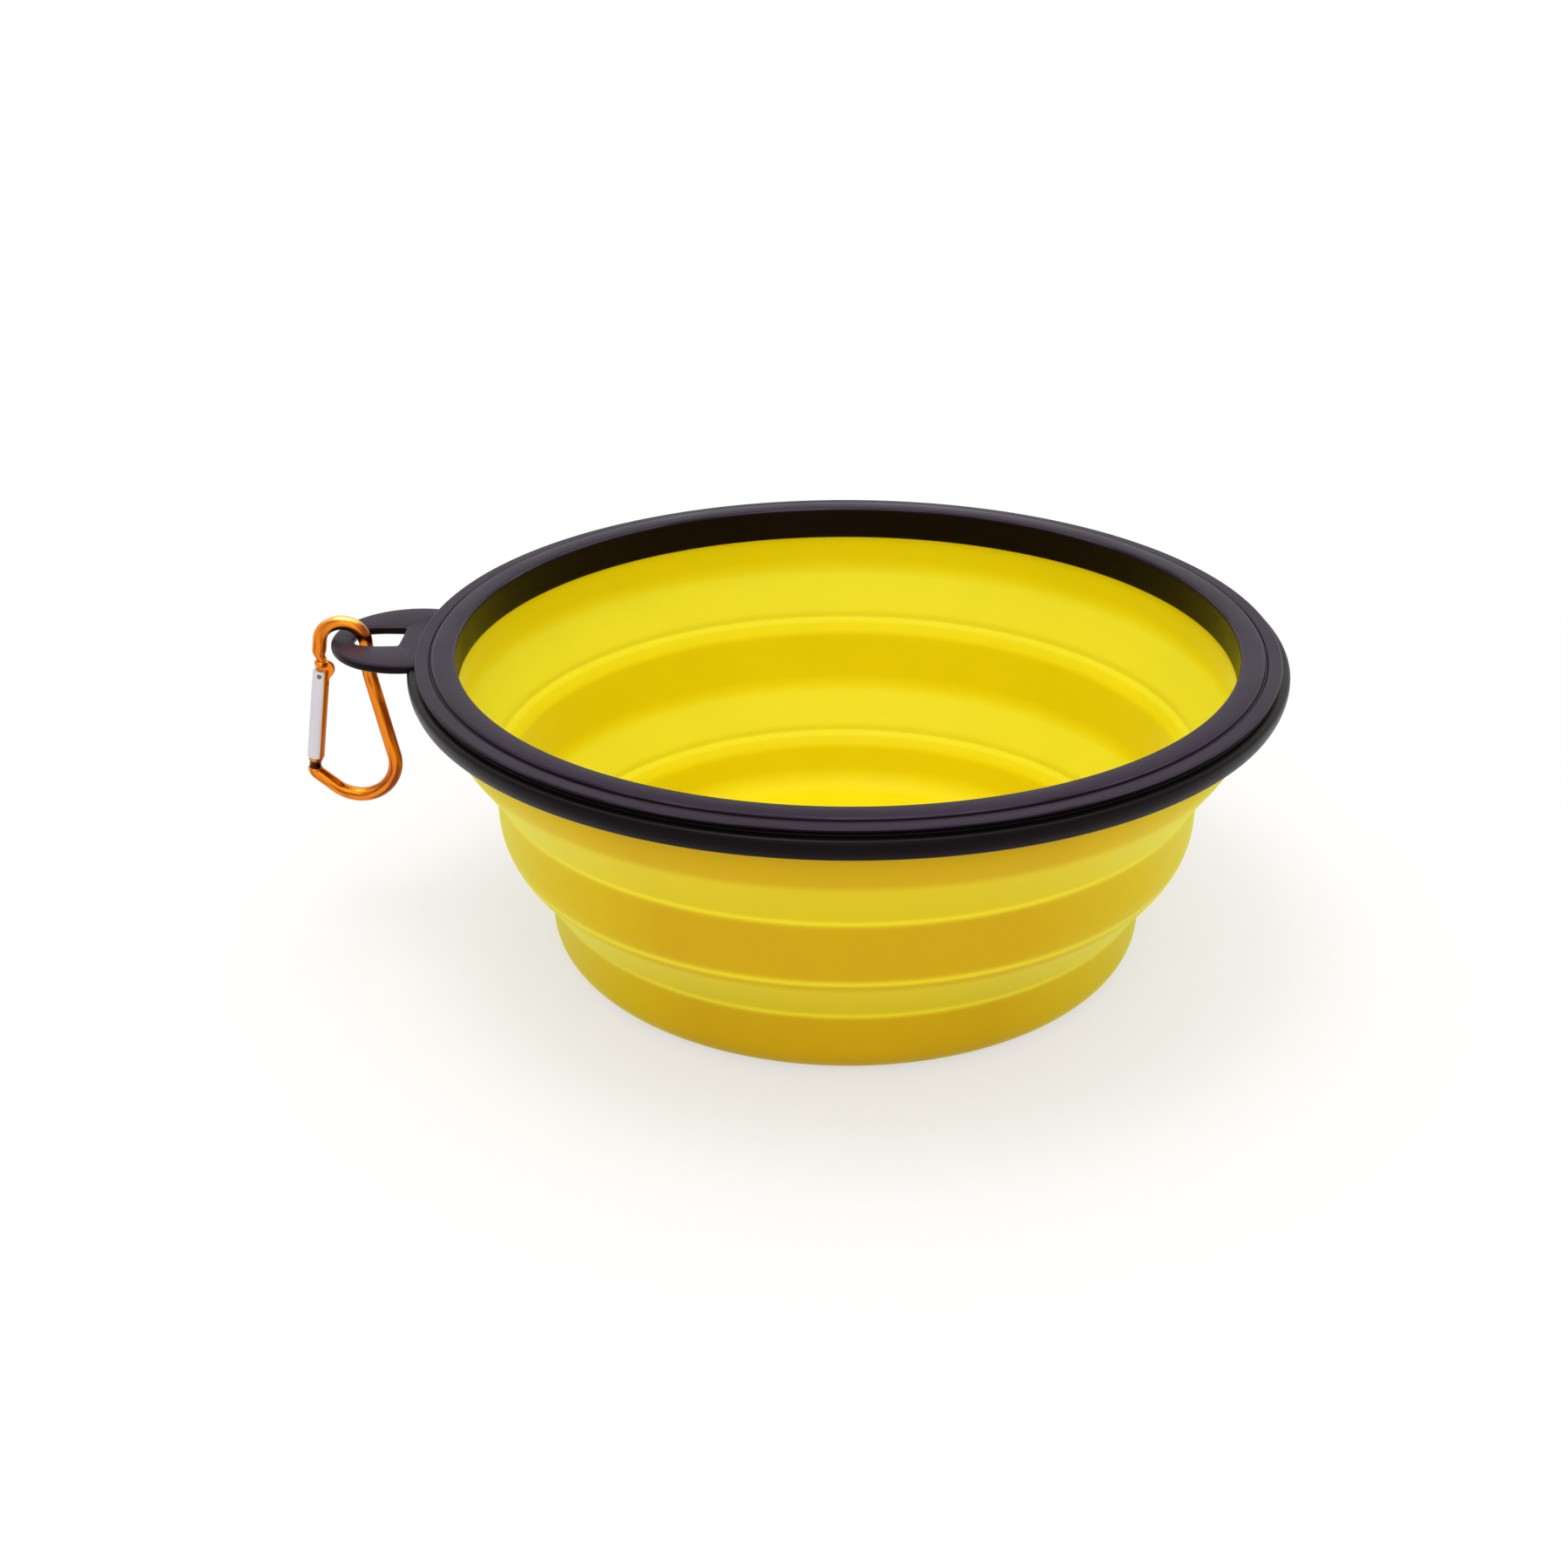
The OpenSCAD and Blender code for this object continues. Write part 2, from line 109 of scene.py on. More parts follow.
class BowlSizes(bpy.types.PropertyGroup):
    """The silicone's own sizes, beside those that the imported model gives."""

    band_wall: length("Band wall", "Wall of the stiff bands", 2.8, 2, 4)
    fold_wall: length("Fold wall", "Wall of the thin folds", 1.4, 1, 2)
    floor_wall: length("Floor", "Thickness of the floor", 3, 2, 5)
    band_lean: length("Middle lean", "How far the middle band leans in", 0.6, 0, 2)
    base_lean: length("Base lean", "How far the base band leans in", 1.1, 0, 2)
    base_edge: length("Base edge", "Rounding of the base's outer edge", 6, 3, 8)
    floor_edge: length("Floor edge", "Rounding between wall and floor inside", 5, 3, 8)
    knee: length("Outer knees", "Rounding where a fold meets the band above it", 4.2, 1, 6)
    crook: length("Outer crooks", "Rounding where a fold meets the band below it", 2.4, 1, 5)
    crease_depth: length("Crease depth", "Depth of the crease inside each fold", 0.65, 0, 0.8)
    crease_height: length("Crease height", "Height of the crease inside each fold", 1.5, 0.5, 3)
    seal_wall: length("Seal lip", "Wall of the lip behind the rim's leg", 2.0, 1, 3)
    flange: length("Flange", "Thickness of the clamped flange", 1.7, 1, 3)
    flange_edge: length("Flange edge", "Rounding of the flange's edges", 0.3, 0.1, 0.8)
    rim_gap: length("Rim gap", "Gap between the hard rim and the silicone", 0.1, 0, 0.5)
    foot_inset: length("Foot inset", "Distance from the base's side to the ring groove", 10.5, 8, 15)
    foot_groove: length("Foot groove", "Depth of the ring groove under the base", 0.6, 0, 1)
    foot_width: length("Foot groove width", "Width of the ring groove under the base", 5, 2, 8)
    top_cut: length("Top cut", "Part of the top band in the upper fold's piece", 5.3, 2, 8)
    middle_high_cut: length("Upper cut", "Part of the middle band in the upper fold's piece", 3.4, 2, 6)
    middle_low_cut: length("Lower cut", "Part of the middle band in the lower fold's piece", 4.4, 2, 6)
    base_cut: length("Base cut", "Part of the base band in the lower fold's piece", 3.0, 1, 6)
    # The folds' lighter tone is a painted glow, for light that comes through the thin wall
    thin_ease: length("Thin ease", "Height over which the folds' lighter tone fades", 1.6, 0.5, 3)
    # The light line at each crease is a painted glow
    glow_width: length("Glow width", "Half width of the light line at each crease", 0.8, 0.2, 2)
    step: length("Step", "Length of one step along the curved stretches", 0.35, 0.1, 2)


class RimSizes(bpy.types.PropertyGroup):
    """The two hard rings and the hang loop."""

    mouth: length("Mouth radius", "Inner radius of the mouth", 80, 70, 110)
    head: length("Head width", "Radial width of the inner ring's head", 5.0, 4, 6)
    head_height: length("Head height", "Height of the inner ring's head", 3.7, 3, 5)
    head_inner_edge: length("Head inner edge", "Rounding of the head at the mouth", 0.8, 0.2, 1.5)
    head_crest_edge: length("Head crest", "Rounding of the head's crest", 1.6, 0.5, 2.2)
    head_outer_edge: length("Head outer edge", "Rounding of the head at the seam", 0.7, 0.2, 1.5)
    crown: length("Crown", "How far the head's top swells", 0.3, 0, 1)
    leg: length("Leg wall", "Wall of the leg that lines the mouth", 1.3, 1, 2)
    seam: length("Seam", "Width of the dark seam between the rings", 0.4, 0.2, 1)
    seam_depth: length("Seam depth", "Depth of the seam down to its sill", 0.7, 0.5, 3)
    # The tone above the sill is painted top light, which starts on the seam's sill
    sill_tone: length("Sill tone", "Height above the sill where the rubbed tone is full", 0.32, 0, 0.7)
    fine_edge: length("Fine edge", "Smallest rounding in the seam and the side groove", 0.1, 0.05, 0.2)
    edge: length("Top edge", "Height of the outer ring's top edge", 0.8, 0.5, 1.5)
    top_inner_edge: length("Top inner edge", "Rounding of the outer ring's top at the seam", 0.35, 0.1, 1)
    top_outer_edge: length("Top outer edge", "Rounding of the outer ring's top edge", 0.45, 0.1, 1)
    bead: length("Bead", "How far the bead stands out past the top edge", 1.7, 0.2, 2)
    bead_edge: length("Bead edge", "Rounding of the bead above and below", 0.8, 0.2, 1)
    belly_edge: length("Belly edge", "Rounding of the bead's belly", 1.1, 0.5, 1.5)
    belly_height: length("Belly height", "Height of the bead's belly above its underside", 2.2, 1, 3)
    belly_tuck: length("Belly tuck", "How far the underside is tucked in", 0.9, 0.5, 1.5)
    groove: length("Side groove", "Depth of the groove under the top edge", 0.5, 0.2, 1)
    groove_height: length("Groove height", "Height of the side groove", 0.7, 0.3, 1.5)
    groove_slope: length("Groove slope", "How far the groove's sides and the bead's top slope", 0.1, 0, 0.3)
    under_lip: length("Under lip", "Thickness of the lip under the flange", 0.9, 0.5, 2)
    loop_radius: length("Loop radius", "Radius of the hang loop's outer edge", 16.3, 12, 22)
    loop_wall: length("Loop", "Thickness of the hang loop", 2.0, 1, 3)
    loop_drop: length("Loop drop", "How far the loop's top lies below the mouth's edge", 1.2, 0.5, 2)
    loop_edge: length("Loop edge", "Rounding of the loop's edges", 0.8, 0.2, 1)
    loop_root: length("Loop root", "How far the loop runs into the outer ring", 3.2, 1, 4)
    bar: length("Tip bar", "Width of the bar at the loop's tip", 4.7, 4, 6)
    slot_width: length("Slot width", "Width of the slot", 10.4, 6, 14)
    slot_gap: length("Slot gap", "Distance from the rim to the slot", 2.4, 1, 4)


class CarabinerSizes(bpy.types.PropertyGroup):
    """The bent rod, its latch end and the gate's pin."""

    rod: length("Rod", "Diameter of the rod", 3.0, 2, 4)
    hook: length("Hook", "Radius of the hook along the rod's middle", 4.461, 3, 6)
    bulge: length("Bulge", "How far the hook's free leg stands out past a true circle", 0.7, 0, 1.5)
    neck_radius: length("Neck radius", "Radius of the rod's narrow end above the stop", 1.0, 0.5, 1.5)
    taper: length("Taper", "Length over which the rod widens from its narrow end", 3.0, 1, 5)
    bend: length("Bend", "Radius of the wide bend along the rod's middle", 8.05, 6, 10)
    bend_side: length("Bend side", "How far the wide bend lies inwards of the hook", 0.2037, 0, 1)
    bend_drop: length("Bend drop", "Height from the wide bend's centre to the hook's", 27.2, 20, 35)
    neck: length("Neck", "Straight rod below the hook", 4.5, 1, 8)
    knee: length("Knee", "Radius of the knee in the spine", 20, 5, 40)
    lean: angle("Gate lean", "Lean of the gate", 9.3, 0, 20)
    shoulder: length("Shoulder", "Rod from the hook to the gate's shoulder", 4.0, 3, 6)
    rivet_inset: length("Rivet inset", "Distance from the gate's upper end to its rivet", 1.1, 0.8, 2)
    shoulder_gap: length("Shoulder gap", "Gap between the shoulder and the gate", 2.8, 2, 4)
    stop: length("Stop", "Thickness of the round stop above the gate", 1.1, 0.5, 2)
    stop_gap: length("Stop gap", "Gap between the stop and the gate", 0.8, 0.5, 1)
    stop_edge: length("Stop edge", "Bevel of the stop's edges", 0.2, 0.05, 0.5)
    gate: length("Gate", "Length of the gate", 20.4, 15, 25)
    gate_width: length("Gate width", "Diameter of the gate", 3.6, 3, 5)
    gate_edge: length("Gate edge", "Rounding of the gate's edges", 0.14, 0.05, 0.3)
    latch_gap: length("Latch gap", "Gap between the gate and the latch head", 0.15, 0.05, 0.3)
    latch_head: length("Latch head", "Thickness of the latch head", 0.8, 0.4, 1.2)
    latch_neck: length("Latch neck", "Radius of the neck in the latch's notch", 1.26, 0.5, 1.5)
    latch_edge: length("Latch edge", "Bevel of the latch head's edges", 0.14, 0.05, 0.3)
    latch_ledge: length("Latch ledge", "Height over which the head steps in to its neck", 0.01, 0.005, 0.1)
    latch_root: length("Latch root", "How far the latch's neck runs into the rod", 0.3, 0.1, 1)
    notch: length("Notch", "Height of the notch under the latch head", 1.7, 1, 2.5)
    heel: length("Heel", "Distance from the nose to the corner where the rod turns up", 0.85, 0.5, 1.5)
    heel_edge: length("Heel edge", "Rounding of the corner where the rod turns up", 0.8, 0.2, 1.2)
    nose_edge: length("Nose edge", "Rounding of the rod's far end", 0.22, 0.1, 0.5)
    tongue: length("Tongue", "Thickness of the tongue that the gate turns on", 1.2, 0.8, 1.6)
    tongue_edge: length("Tongue edge", "Rounding of the tongue's edges", 0.15, 0.05, 0.4)
    lug: length("Lug", "Radius of the tongue's lug", 1.9, 1, 2.5)
    rivet: length("Rivet", "Diameter of the rivet", 1.0, 0.6, 1.4)
    rivet_dome: length("Rivet dome", "Height of the rivet's domed heads", 0.2, 0.1, 0.4)


class Finishes(bpy.types.PropertyGroup):
    """Colours, in linear light, and gloss."""

    band_yellow: colour("Band yellow", "Outer side where the wall is thick", (0.71, 0.435, 0.0025))
    # Painted glow on the outer side where the wall is thin
    fold_glow_yellow: colour("Fold yellow", "Outer side where the wall is thin", (0.80, 0.61, 0.005))
    # Painted light: the inner side lighter than the outer, for the light that falls inside the bowl
    lit_lining_yellow: colour("Lining yellow", "Inner side where the wall is thick", (0.84, 0.69, 0.002))
    # Painted light and glow on the inner side where the wall is thin
    glow_yellow: colour("Glow yellow", "Inner side where the wall is thin", (0.82, 0.72, 0.018))
    # Painted light at the left and the right of the outer side
    side_light_yellow: colour("Side yellow", "Outer side at the left and the right", (0.88, 0.69, 0.0015))
    # Painted glow at the thin creases, for light that comes through the wall
    crease_glow_yellow: colour("Crease yellow", "Silicone at the thin creases", (0.95, 0.80, 0.020))
    silicone_sheen: colour("Silicone sheen", "Dusty sheen of the silicone", (0.93, 1.0, 0.2))
    silicone_roughness: share("Silicone roughness", "Roughness of the silicone", 0.5)
    rim_charcoal: colour("Rim charcoal", "Hard plastic on the rim's sides", (0.0018, 0.0013, 0.0018))
    # Painted light: the plastic lighter where it looks up
    rim_lit_top: colour("Rim top", "Hard plastic where it looks up", (0.024, 0.015, 0.030))
    # Painted highlight on the upper edges, broken into patches as wear would be
    rim_edge_highlight: colour("Rim edge", "Hard plastic where edges are worn", (0.075, 0.058, 0.085))
    rim_gloss: colour("Rim gloss", "Tint of what the rim reflects", (1.0, 0.7, 0.78))
    rim_roughness: share("Rim roughness", "Roughness of the rim", 0.33)
    anodised_orange: colour("Orange", "Anodised rod of the carabiner", (0.84, 0.23, 0.002))
    # Painted dark reflections and shade in streaks on the rod; also the base of the notch's painted shade
    anodised_painted_shade: colour("Orange shade", "Streaks in the anodised rod", (0.19, 0.020, 0.002))
    # Painted highlight on the hook's crest
    anodised_highlight: colour("Orange crest", "Rubbed crest of the hook", (0.92, 0.56, 0.14))
    bare_metal: colour("Bare metal", "Bare aluminium of the gate", (0.72, 0.69, 0.73))
    pin_metal: colour("Pin metal", "Steel of the rivet and the spring", (0.20, 0.19, 0.20))


class StageSettings(bpy.types.PropertyGroup):
    """The camera's place and the light."""

    camera_back: length("Camera back", "Distance of the camera in front of the bowl's axis", 399.2, 100, 2000)
    camera_up: length("Camera up", "Height of the camera above the floor", 227.4, 50, 1000)
    camera_tilt: angle("Tilt", "Downward tilt of the camera", 26.01)
    camera_pan: angle("Pan", "Turn of the camera to the left", 1.88)
    camera_roll: angle("Roll", "Roll of the camera", -0.495)
    lens: share("Lens", "Focal length in millimetres on a 36 mm sensor", 47.61, 10.0, 200.0)
    key_power: share("Key power", "Power of the overhead softbox in watts", 9.0, 0, 200)
    fill_power: share("Fill power", "Power of the front fill in watts", 2.8, 0, 200)
    fill_tilt: angle("Fill tilt", "Turn of the front fill from pointing down", 58)
    glint_power: share("Glint power", "Power of the small lamp that glints in metal, in watts", 3.2, 0, 20)
    sky: share("Sky", "Strength of the even light from all round", 0.6, 0, 2)
    shadow_reach: length("Shadow reach", "Distance at which the floor looks plain white", 290, 100, 2000)
    shadow_lift: share("Shadow lift", "Share of plain white in the floor close to the bowl", 0.6)
    floor_half: length("Floor", "Half the width of the floor", 2500, 500, 5000)
    floor_tone: share("Floor tone", "Reflectance of the floor", 0.86)


GROUPS = {
    "petbowl_bowl": BowlSizes,
    "petbowl_rim": RimSizes,
    "petbowl_carabiner": CarabinerSizes,
    "petbowl_finish": Finishes,
    "petbowl_stage": StageSettings,
}


# Outlines

def unit(v):
    """The vector with length one."""
    return np.asarray(v, float) / np.linalg.norm(v)


def circle(count):
    """The cosines and sines of evenly spaced angles, one row each."""
    a = np.linspace(0, 2 * math.pi, count, endpoint=False)
    return np.stack([np.cos(a), np.sin(a)], 1)


def smooth_share(value, low, high):
    """0 below low, 1 above high, and t t (3 - 2 t) between them."""
    t = np.clip((value - low) / (high - low), 0, 1)
    return t * t * (3 - 2 * t)


def rounded_line(corners, step):
    """A line through corners (x, y, leg), each rounded by an arc that starts one leg before the corner.

    The arc's centre lies on the corner's bisector, so that it touches both sides, and its points are turned
    evenly from one touching point to the other. Straight stretches keep only their ends.
    """
    points = np.array([c[:2] for c in corners], float)
    parts = [points[:1]]
    for i in range(1, len(points) - 1):
        leg = corners[i][2]
        before, here, after = points[i - 1], points[i], points[i + 1]
        p, q = unit(before - here), unit(after - here)
        half = math.acos(float(np.clip(p @ q, -1, 1))) / 2
        if leg <= 0 or math.pi / 2 - half < 1e-4:
            parts.append(here[None])
            continue
        centre = here + unit(p + q) * leg / math.cos(half)
        start, end = here + p * leg - centre, here + q * leg - centre
        turn = math.atan2(start[0] * end[1] - start[1] * end[0], start @ end)
        n = max(4, int(math.ceil(abs(turn) * np.linalg.norm(start) / step)))
        a = np.linspace(0, turn, n + 1)
        parts.append(centre + np.stack([
            start[0] * np.cos(a) - start[1] * np.sin(a),
            start[0] * np.sin(a) + start[1] * np.cos(a),
        ], 1))
    parts.append(points[-1:])
    return np.concatenate(parts)


def resampled(line, step):
    """The same line with each long stretch cut into even steps, keeping every point it has."""
    gaps = np.linalg.norm(np.diff(line, axis=0), axis=1)
    counts = np.maximum(1, np.ceil(gaps / step).astype(int))
    start = np.repeat(np.arange(len(gaps)), counts)
    offset = np.arange(counts.sum()) - np.repeat(np.cumsum(counts) - counts, counts)
    t = (offset / counts[start])[:, None]
    inside = line[start] * (1 - t) + line[start + 1] * t
    return np.concatenate([inside, line[-1:]])


def between(line, low, high):
    """The part of a line, going up or down, between two heights, with its ends exactly on them."""
    z = line[:, 1]
    crossings = []
    for level in (low, high):
        i = np.nonzero((z[:-1] - level) * (z[1:] - level) < 0)[0]
        if len(i):
            t = (level - z[i[0]]) / (z[i[0] + 1] - z[i[0]])
            crossings.append((i[0] + t, line[i[0]] * (1 - t) + line[i[0] + 1] * t))
    inside = [(i, line[i]) for i in np.nonzero((z >= low) & (z <= high))[0]]
    ordered = sorted(inside + crossings, key=lambda item: item[0])
    return np.array([p for _, p in ordered])


def arc(centre, radius, start, end, step):
    """Points centre + radius (cos a, sin a) on an arc, for the angles a from start to end."""
    a = np.linspace(start, end, max(6, int(abs(end - start) * radius / step)))
    return np.asarray(centre) + radius * np.stack([np.cos(a), np.sin(a)], 1)


def run_along(line):
    """The length of a line up to each of its points."""
    return np.concatenate([[0], np.cumsum(np.linalg.norm(np.diff(line, axis=0), axis=1))])


def ray_to_circle(directions, centre, radius):
    """How far a ray from the origin goes before it leaves a circle, or zero where it misses.

    It is the larger root t of |t times the direction - centre| = radius.
    """
    along = directions @ np.asarray(centre, float)
    inside = along**2 - (np.dot(centre, centre) - radius**2)
    return np.where(inside > 0, np.maximum(along + np.sqrt(np.maximum(inside, 0)), 0), 0)


def ray_to_box(directions, low, high):
    """How far a ray from the origin, inside the box, goes before it meets the nearest of the sides ahead."""
    with np.errstate(divide="ignore"):
        x = np.where(directions[:, 0] > 0, high[0], low[0]) / directions[:, 0]
        y = np.where(directions[:, 1] > 0, high[1], low[1]) / directions[:, 1]
    return np.minimum(np.abs(x), np.abs(y))


def in_plane(points, origin):
    """Points (x, z) of the upright plane Y = 0, counted from an origin, as points in space."""
    points = np.asarray(points, float)
    return np.stack([origin[0] + points[..., 0], np.zeros(points.shape[:-1]), origin[2] + points[..., 1]], -1)


# Surfaces

def smooth_piece(name, mesh):
    """An object at the origin for a mesh, with smooth faces."""
    mesh.polygons.foreach_set("use_smooth", np.ones(len(mesh.polygons), bool))
    mesh.update()
    piece = bpy.data.objects.new(name, mesh)
    bpy.context.scene.collection.objects.link(piece)
    return piece


def mesh_object(name, vertices, faces):
    """A piece from its points and faces."""
    mesh = bpy.data.meshes.new(name)
    mesh.from_pydata(vertices, [], faces)
    return smooth_piece(name, mesh)


def grid_faces(rows, columns, wrap_rows):
    """The quads of a grid of points, closed along each row and, if asked, from the last row to the first."""
    r = np.arange(rows if wrap_rows else rows - 1)[:, None]
    c = np.arange(columns)[None]
    r2, c2 = (r + 1) % rows, (c + 1) % columns
    quads = np.stack([r * columns + c, r * columns + c2, r2 * columns + c2, r2 * columns + c], -1)
    return quads.reshape(-1, 4).tolist()


def fan_faces(pole, ring, flip):
    """The triangles from one pole to a closed ring of points."""
    following = np.roll(ring, -1)
    triangle = (pole, following, ring) if flip else (pole, ring, following)
    return np.stack(np.broadcast_arrays(*triangle), -1).tolist()


def capped(rings, poles):
    """The points and faces of rings that follow one another, closed by one point at either end."""
    rows, columns = rings.shape[:2]
    count = rows * columns
    first = np.arange(columns)
    faces = grid_faces(rows, columns, False)
    faces += fan_faces(count, first, True) + fan_faces(count + 1, first + count - columns, False)
    return np.concatenate([rings.reshape(-1, 3), poles]), faces


def revolved(name, section, shares=None):
    """A closed section (r, z), or a line that starts and ends on the axis, turned about the Z axis.

    The point at the angle a is (r cos a, r sin a, z). A section that runs with the solid on its left
    faces outwards. shares holds numbers for the section's points, stored as named attributes.
    """
    x, y = section[:, 0], section[:, 1]
    order = -1 if np.sum(x * np.roll(y, -1) - np.roll(x, -1) * y) < 0 else 1
    section = section[::order]
    poles = section[0, 0] < 1e-9 and section[-1, 0] < 1e-9
    turned = section[1:-1] if poles else section
    around = circle(AROUND)
    grid = np.stack([
        turned[:, :1] * around[:, 0], turned[:, :1] * around[:, 1], np.repeat(turned[:, 1:], AROUND, 1)
    ], -1)
    if poles:
        vertices, faces = capped(grid, [[0, 0, section[0, 1]], [0, 0, section[-1, 1]]])
    else:
        vertices, faces = grid.reshape(-1, 3), grid_faces(len(turned), AROUND, True)
    piece = mesh_object(name, vertices, faces)
    for key, values in (shares or {}).items():
        values = values[::order]
        ends = [values[0], values[-1]] if poles else []
        spread = np.repeat(values[1:-1] if poles else values, AROUND)
        add_share(piece, key, np.concatenate([spread, ends]))
    return piece


def tube(name, path, radii, origin):
    """A round bar along a path (x, z) in the upright plane, with a radius for each point and closed ends.

    The ring at a point is path + radius (cos a times the path's normal + sin a times Y). The attribute
    flow holds the run along the bar in centimetres and the cosine and sine round it.
    """
    path, radii = np.asarray(path, float), np.asarray(radii, float)
    forward = np.gradient(path, axis=0)
    moves = np.linalg.norm(forward, axis=1) > 1e-9
    index = np.maximum.accumulate(np.where(moves, np.arange(len(path)), 0))
    forward = forward[index] / np.linalg.norm(forward[index], axis=1)[:, None]
    side = np.stack([-forward[:, 1], np.zeros(len(path)), forward[:, 0]], 1)
    around = circle(BAR_SIDES)
    middle = in_plane(path, origin)
    rings = middle[:, None] + radii[:, None, None] * (
        around[None, :, :1] * side[:, None] + around[None, :, 1:] * np.array([0.0, 1.0, 0.0])
    )
    piece = outward(mesh_object(name, *capped(rings, middle[[0, -1]])))
    run = run_along(path) / (10 * MM)
    flow = np.concatenate([
        np.column_stack([np.repeat(run, BAR_SIDES), np.tile(around, (len(path), 1))]),
        [[run[0], 0, 0], [run[-1], 0, 0]],
    ])
    layer = piece.data.attributes.new("flow", "FLOAT_VECTOR", "POINT")
    layer.data.foreach_set("vector", flow.astype(np.float32).ravel())
    return piece


def slab(name, outline, half, edge, place):
    """A flat plate from a star-shaped outline (x, y) about the origin, with rounded edges.

    Each ring is the outline shrunk towards the origin: on the edge by 1 - cos a and lifted by sin a.
    place turns the plate's (x, y, height) into points in space.
    """
    reach = np.linalg.norm(outline, axis=1)[:, None]
    a = np.linspace(-math.pi / 2, math.pi / 2, 9)
    inset = edge * (1 - np.cos(a))
    height = np.sign(a) * (half - edge) + edge * np.sin(a)
    rings = outline[None] * ((reach[None] - inset[:, None, None]) / reach[None])
    grid = np.concatenate([rings, np.broadcast_to(height[:, None, None], rings.shape[:2] + (1,))], -1)
    vertices, faces = capped(grid, [[0, 0, -half], [0, 0, half]])
    return outward(mesh_object(name, place(vertices), faces))


def rows_of(items, name, width=3, kind=np.float32):
    """A property of a mesh's vertices, faces or corners as an array with one row each."""
    values = np.zeros((len(items), width), kind)
    items.foreach_get(name, values.ravel())
    return values.astype(float) if kind is np.float32 else values


def outward(piece):
    """The piece with its faces turned outwards, by the sign of its volume."""
    mesh = piece.data
    mesh.calc_loop_triangles()
    v = rows_of(mesh.vertices, "co")[rows_of(mesh.loop_triangles, "vertices", 3, np.int32)]
    if np.sum(v[:, 0] * np.cross(v[:, 1], v[:, 2])) < 0:
        mesh.flip_normals()
    return piece


def flat_ends(piece, above):
    """Makes the edges of level faces above a height sharp, so that the wall's shading runs straight on."""
    mesh = piece.data
    up, height = rows_of(mesh.polygons, "normal")[:, 2], rows_of(mesh.polygons, "center")[:, 2]
    corners = rows_of(mesh.polygons, "loop_total", 1, np.int32)[:, 0]
    edges = rows_of(mesh.loops, "edge_index", 1, np.int32)[:, 0]
    level = (np.abs(up) > 0.99999) & (height > above)
    sharp = np.zeros(len(mesh.edges), bool)
    sharp[edges[np.repeat(level, corners)]] = True
    mesh.edges.foreach_set("use_edge_sharp", sharp)
    mesh.update()


def softened_copy(name, node, edge):
    """A copy of a node's mesh, merged, with its sharp edges rounded off.

    Its faces are sorted along a slanting line, because the merge lists them in any order.
    """
    slant = (1.0, math.sqrt(2), math.pi)
    mesh = frame["nodes"][node].data.copy()
    mesh.name = name
    built = bmesh.new()
    built.from_mesh(mesh)
    bmesh.ops.remove_doubles(built, verts=built.verts, dist=2e-6)
    bmesh.ops.dissolve_limit(
        built, angle_limit=math.radians(1.0), verts=built.verts, edges=built.edges
    )
    sharp = [e for e in built.edges if len(e.link_faces) == 2 and e.calc_face_angle(0) > math.radians(35)]
    bmesh.ops.bevel(
        built, geom=sharp, offset=edge, offset_type="OFFSET", segments=2, profile=0.5, affect="EDGES",
        clamp_overlap=True,
    )
    bmesh.ops.triangulate(built, faces=[f for f in built.faces if len(f.verts) > 4])
    built.faces.sort(key=lambda face: face.calc_center_median().dot(slant))
    built.to_mesh(mesh)
    built.free()
    return smooth_piece(name, mesh)


# Attributes that the materials read

def vertex_heights(piece):
    """The heights of a piece's vertices."""
    return rows_of(piece.data.vertices, "co")[:, 2]


def vertex_normals(piece):
    """The normals of a piece's vertices."""
    return rows_of(piece.data.vertex_normals, "vector")


def add_share(piece, name, values):
    """Stores one number for each vertex as a named attribute."""
    layer = piece.data.attributes.new(name, "FLOAT", "POINT")
    layer.data.foreach_set("value", np.asarray(values, np.float32))


def mark_top_light(piece, above, fade=0.5 * MM, top_span=(0.45, 0.95), edge_up=0.68, edge_spread=0.3):
    """Marks the faces that look up, for painted top light, and the upper edges, where the normal's height is
    about edge_up, for painted highlights.

    Both fade out below the height given as above.
    """
    high_enough = smooth_share(vertex_heights(piece), above - fade, above)
    up = vertex_normals(piece)[:, 2]
    add_share(piece, "top", high_enough * smooth_share(up, *top_span))
    add_share(piece, "edge", high_enough * smooth_share(1 - np.abs(up - edge_up) / edge_spread, 0, 1))


def mark_shade_side(piece, away=(0.9, 0.0, -0.45), span=(0.15, 0.48)):
    """Marks the side of the rod that looks down and towards the bowl, for painted shade, as the share of the
    normal that way.
    """
    add_share(piece, "lee", smooth_share(vertex_normals(piece) @ unit(away), *span))


def mark_hook_highlight(piece, hook_z, rise=(1.0 * MM, 3.5 * MM), span=(0.6, 0.9)):
    """Marks the hook's crest for a painted highlight: normals that point up, in the upper part of the hook.
    """
    high_enough = smooth_share(vertex_heights(piece), hook_z + rise[0], hook_z + rise[1])
    add_share(piece, "crest", high_enough * smooth_share(vertex_normals(piece)[:, 2], *span))


# Materials

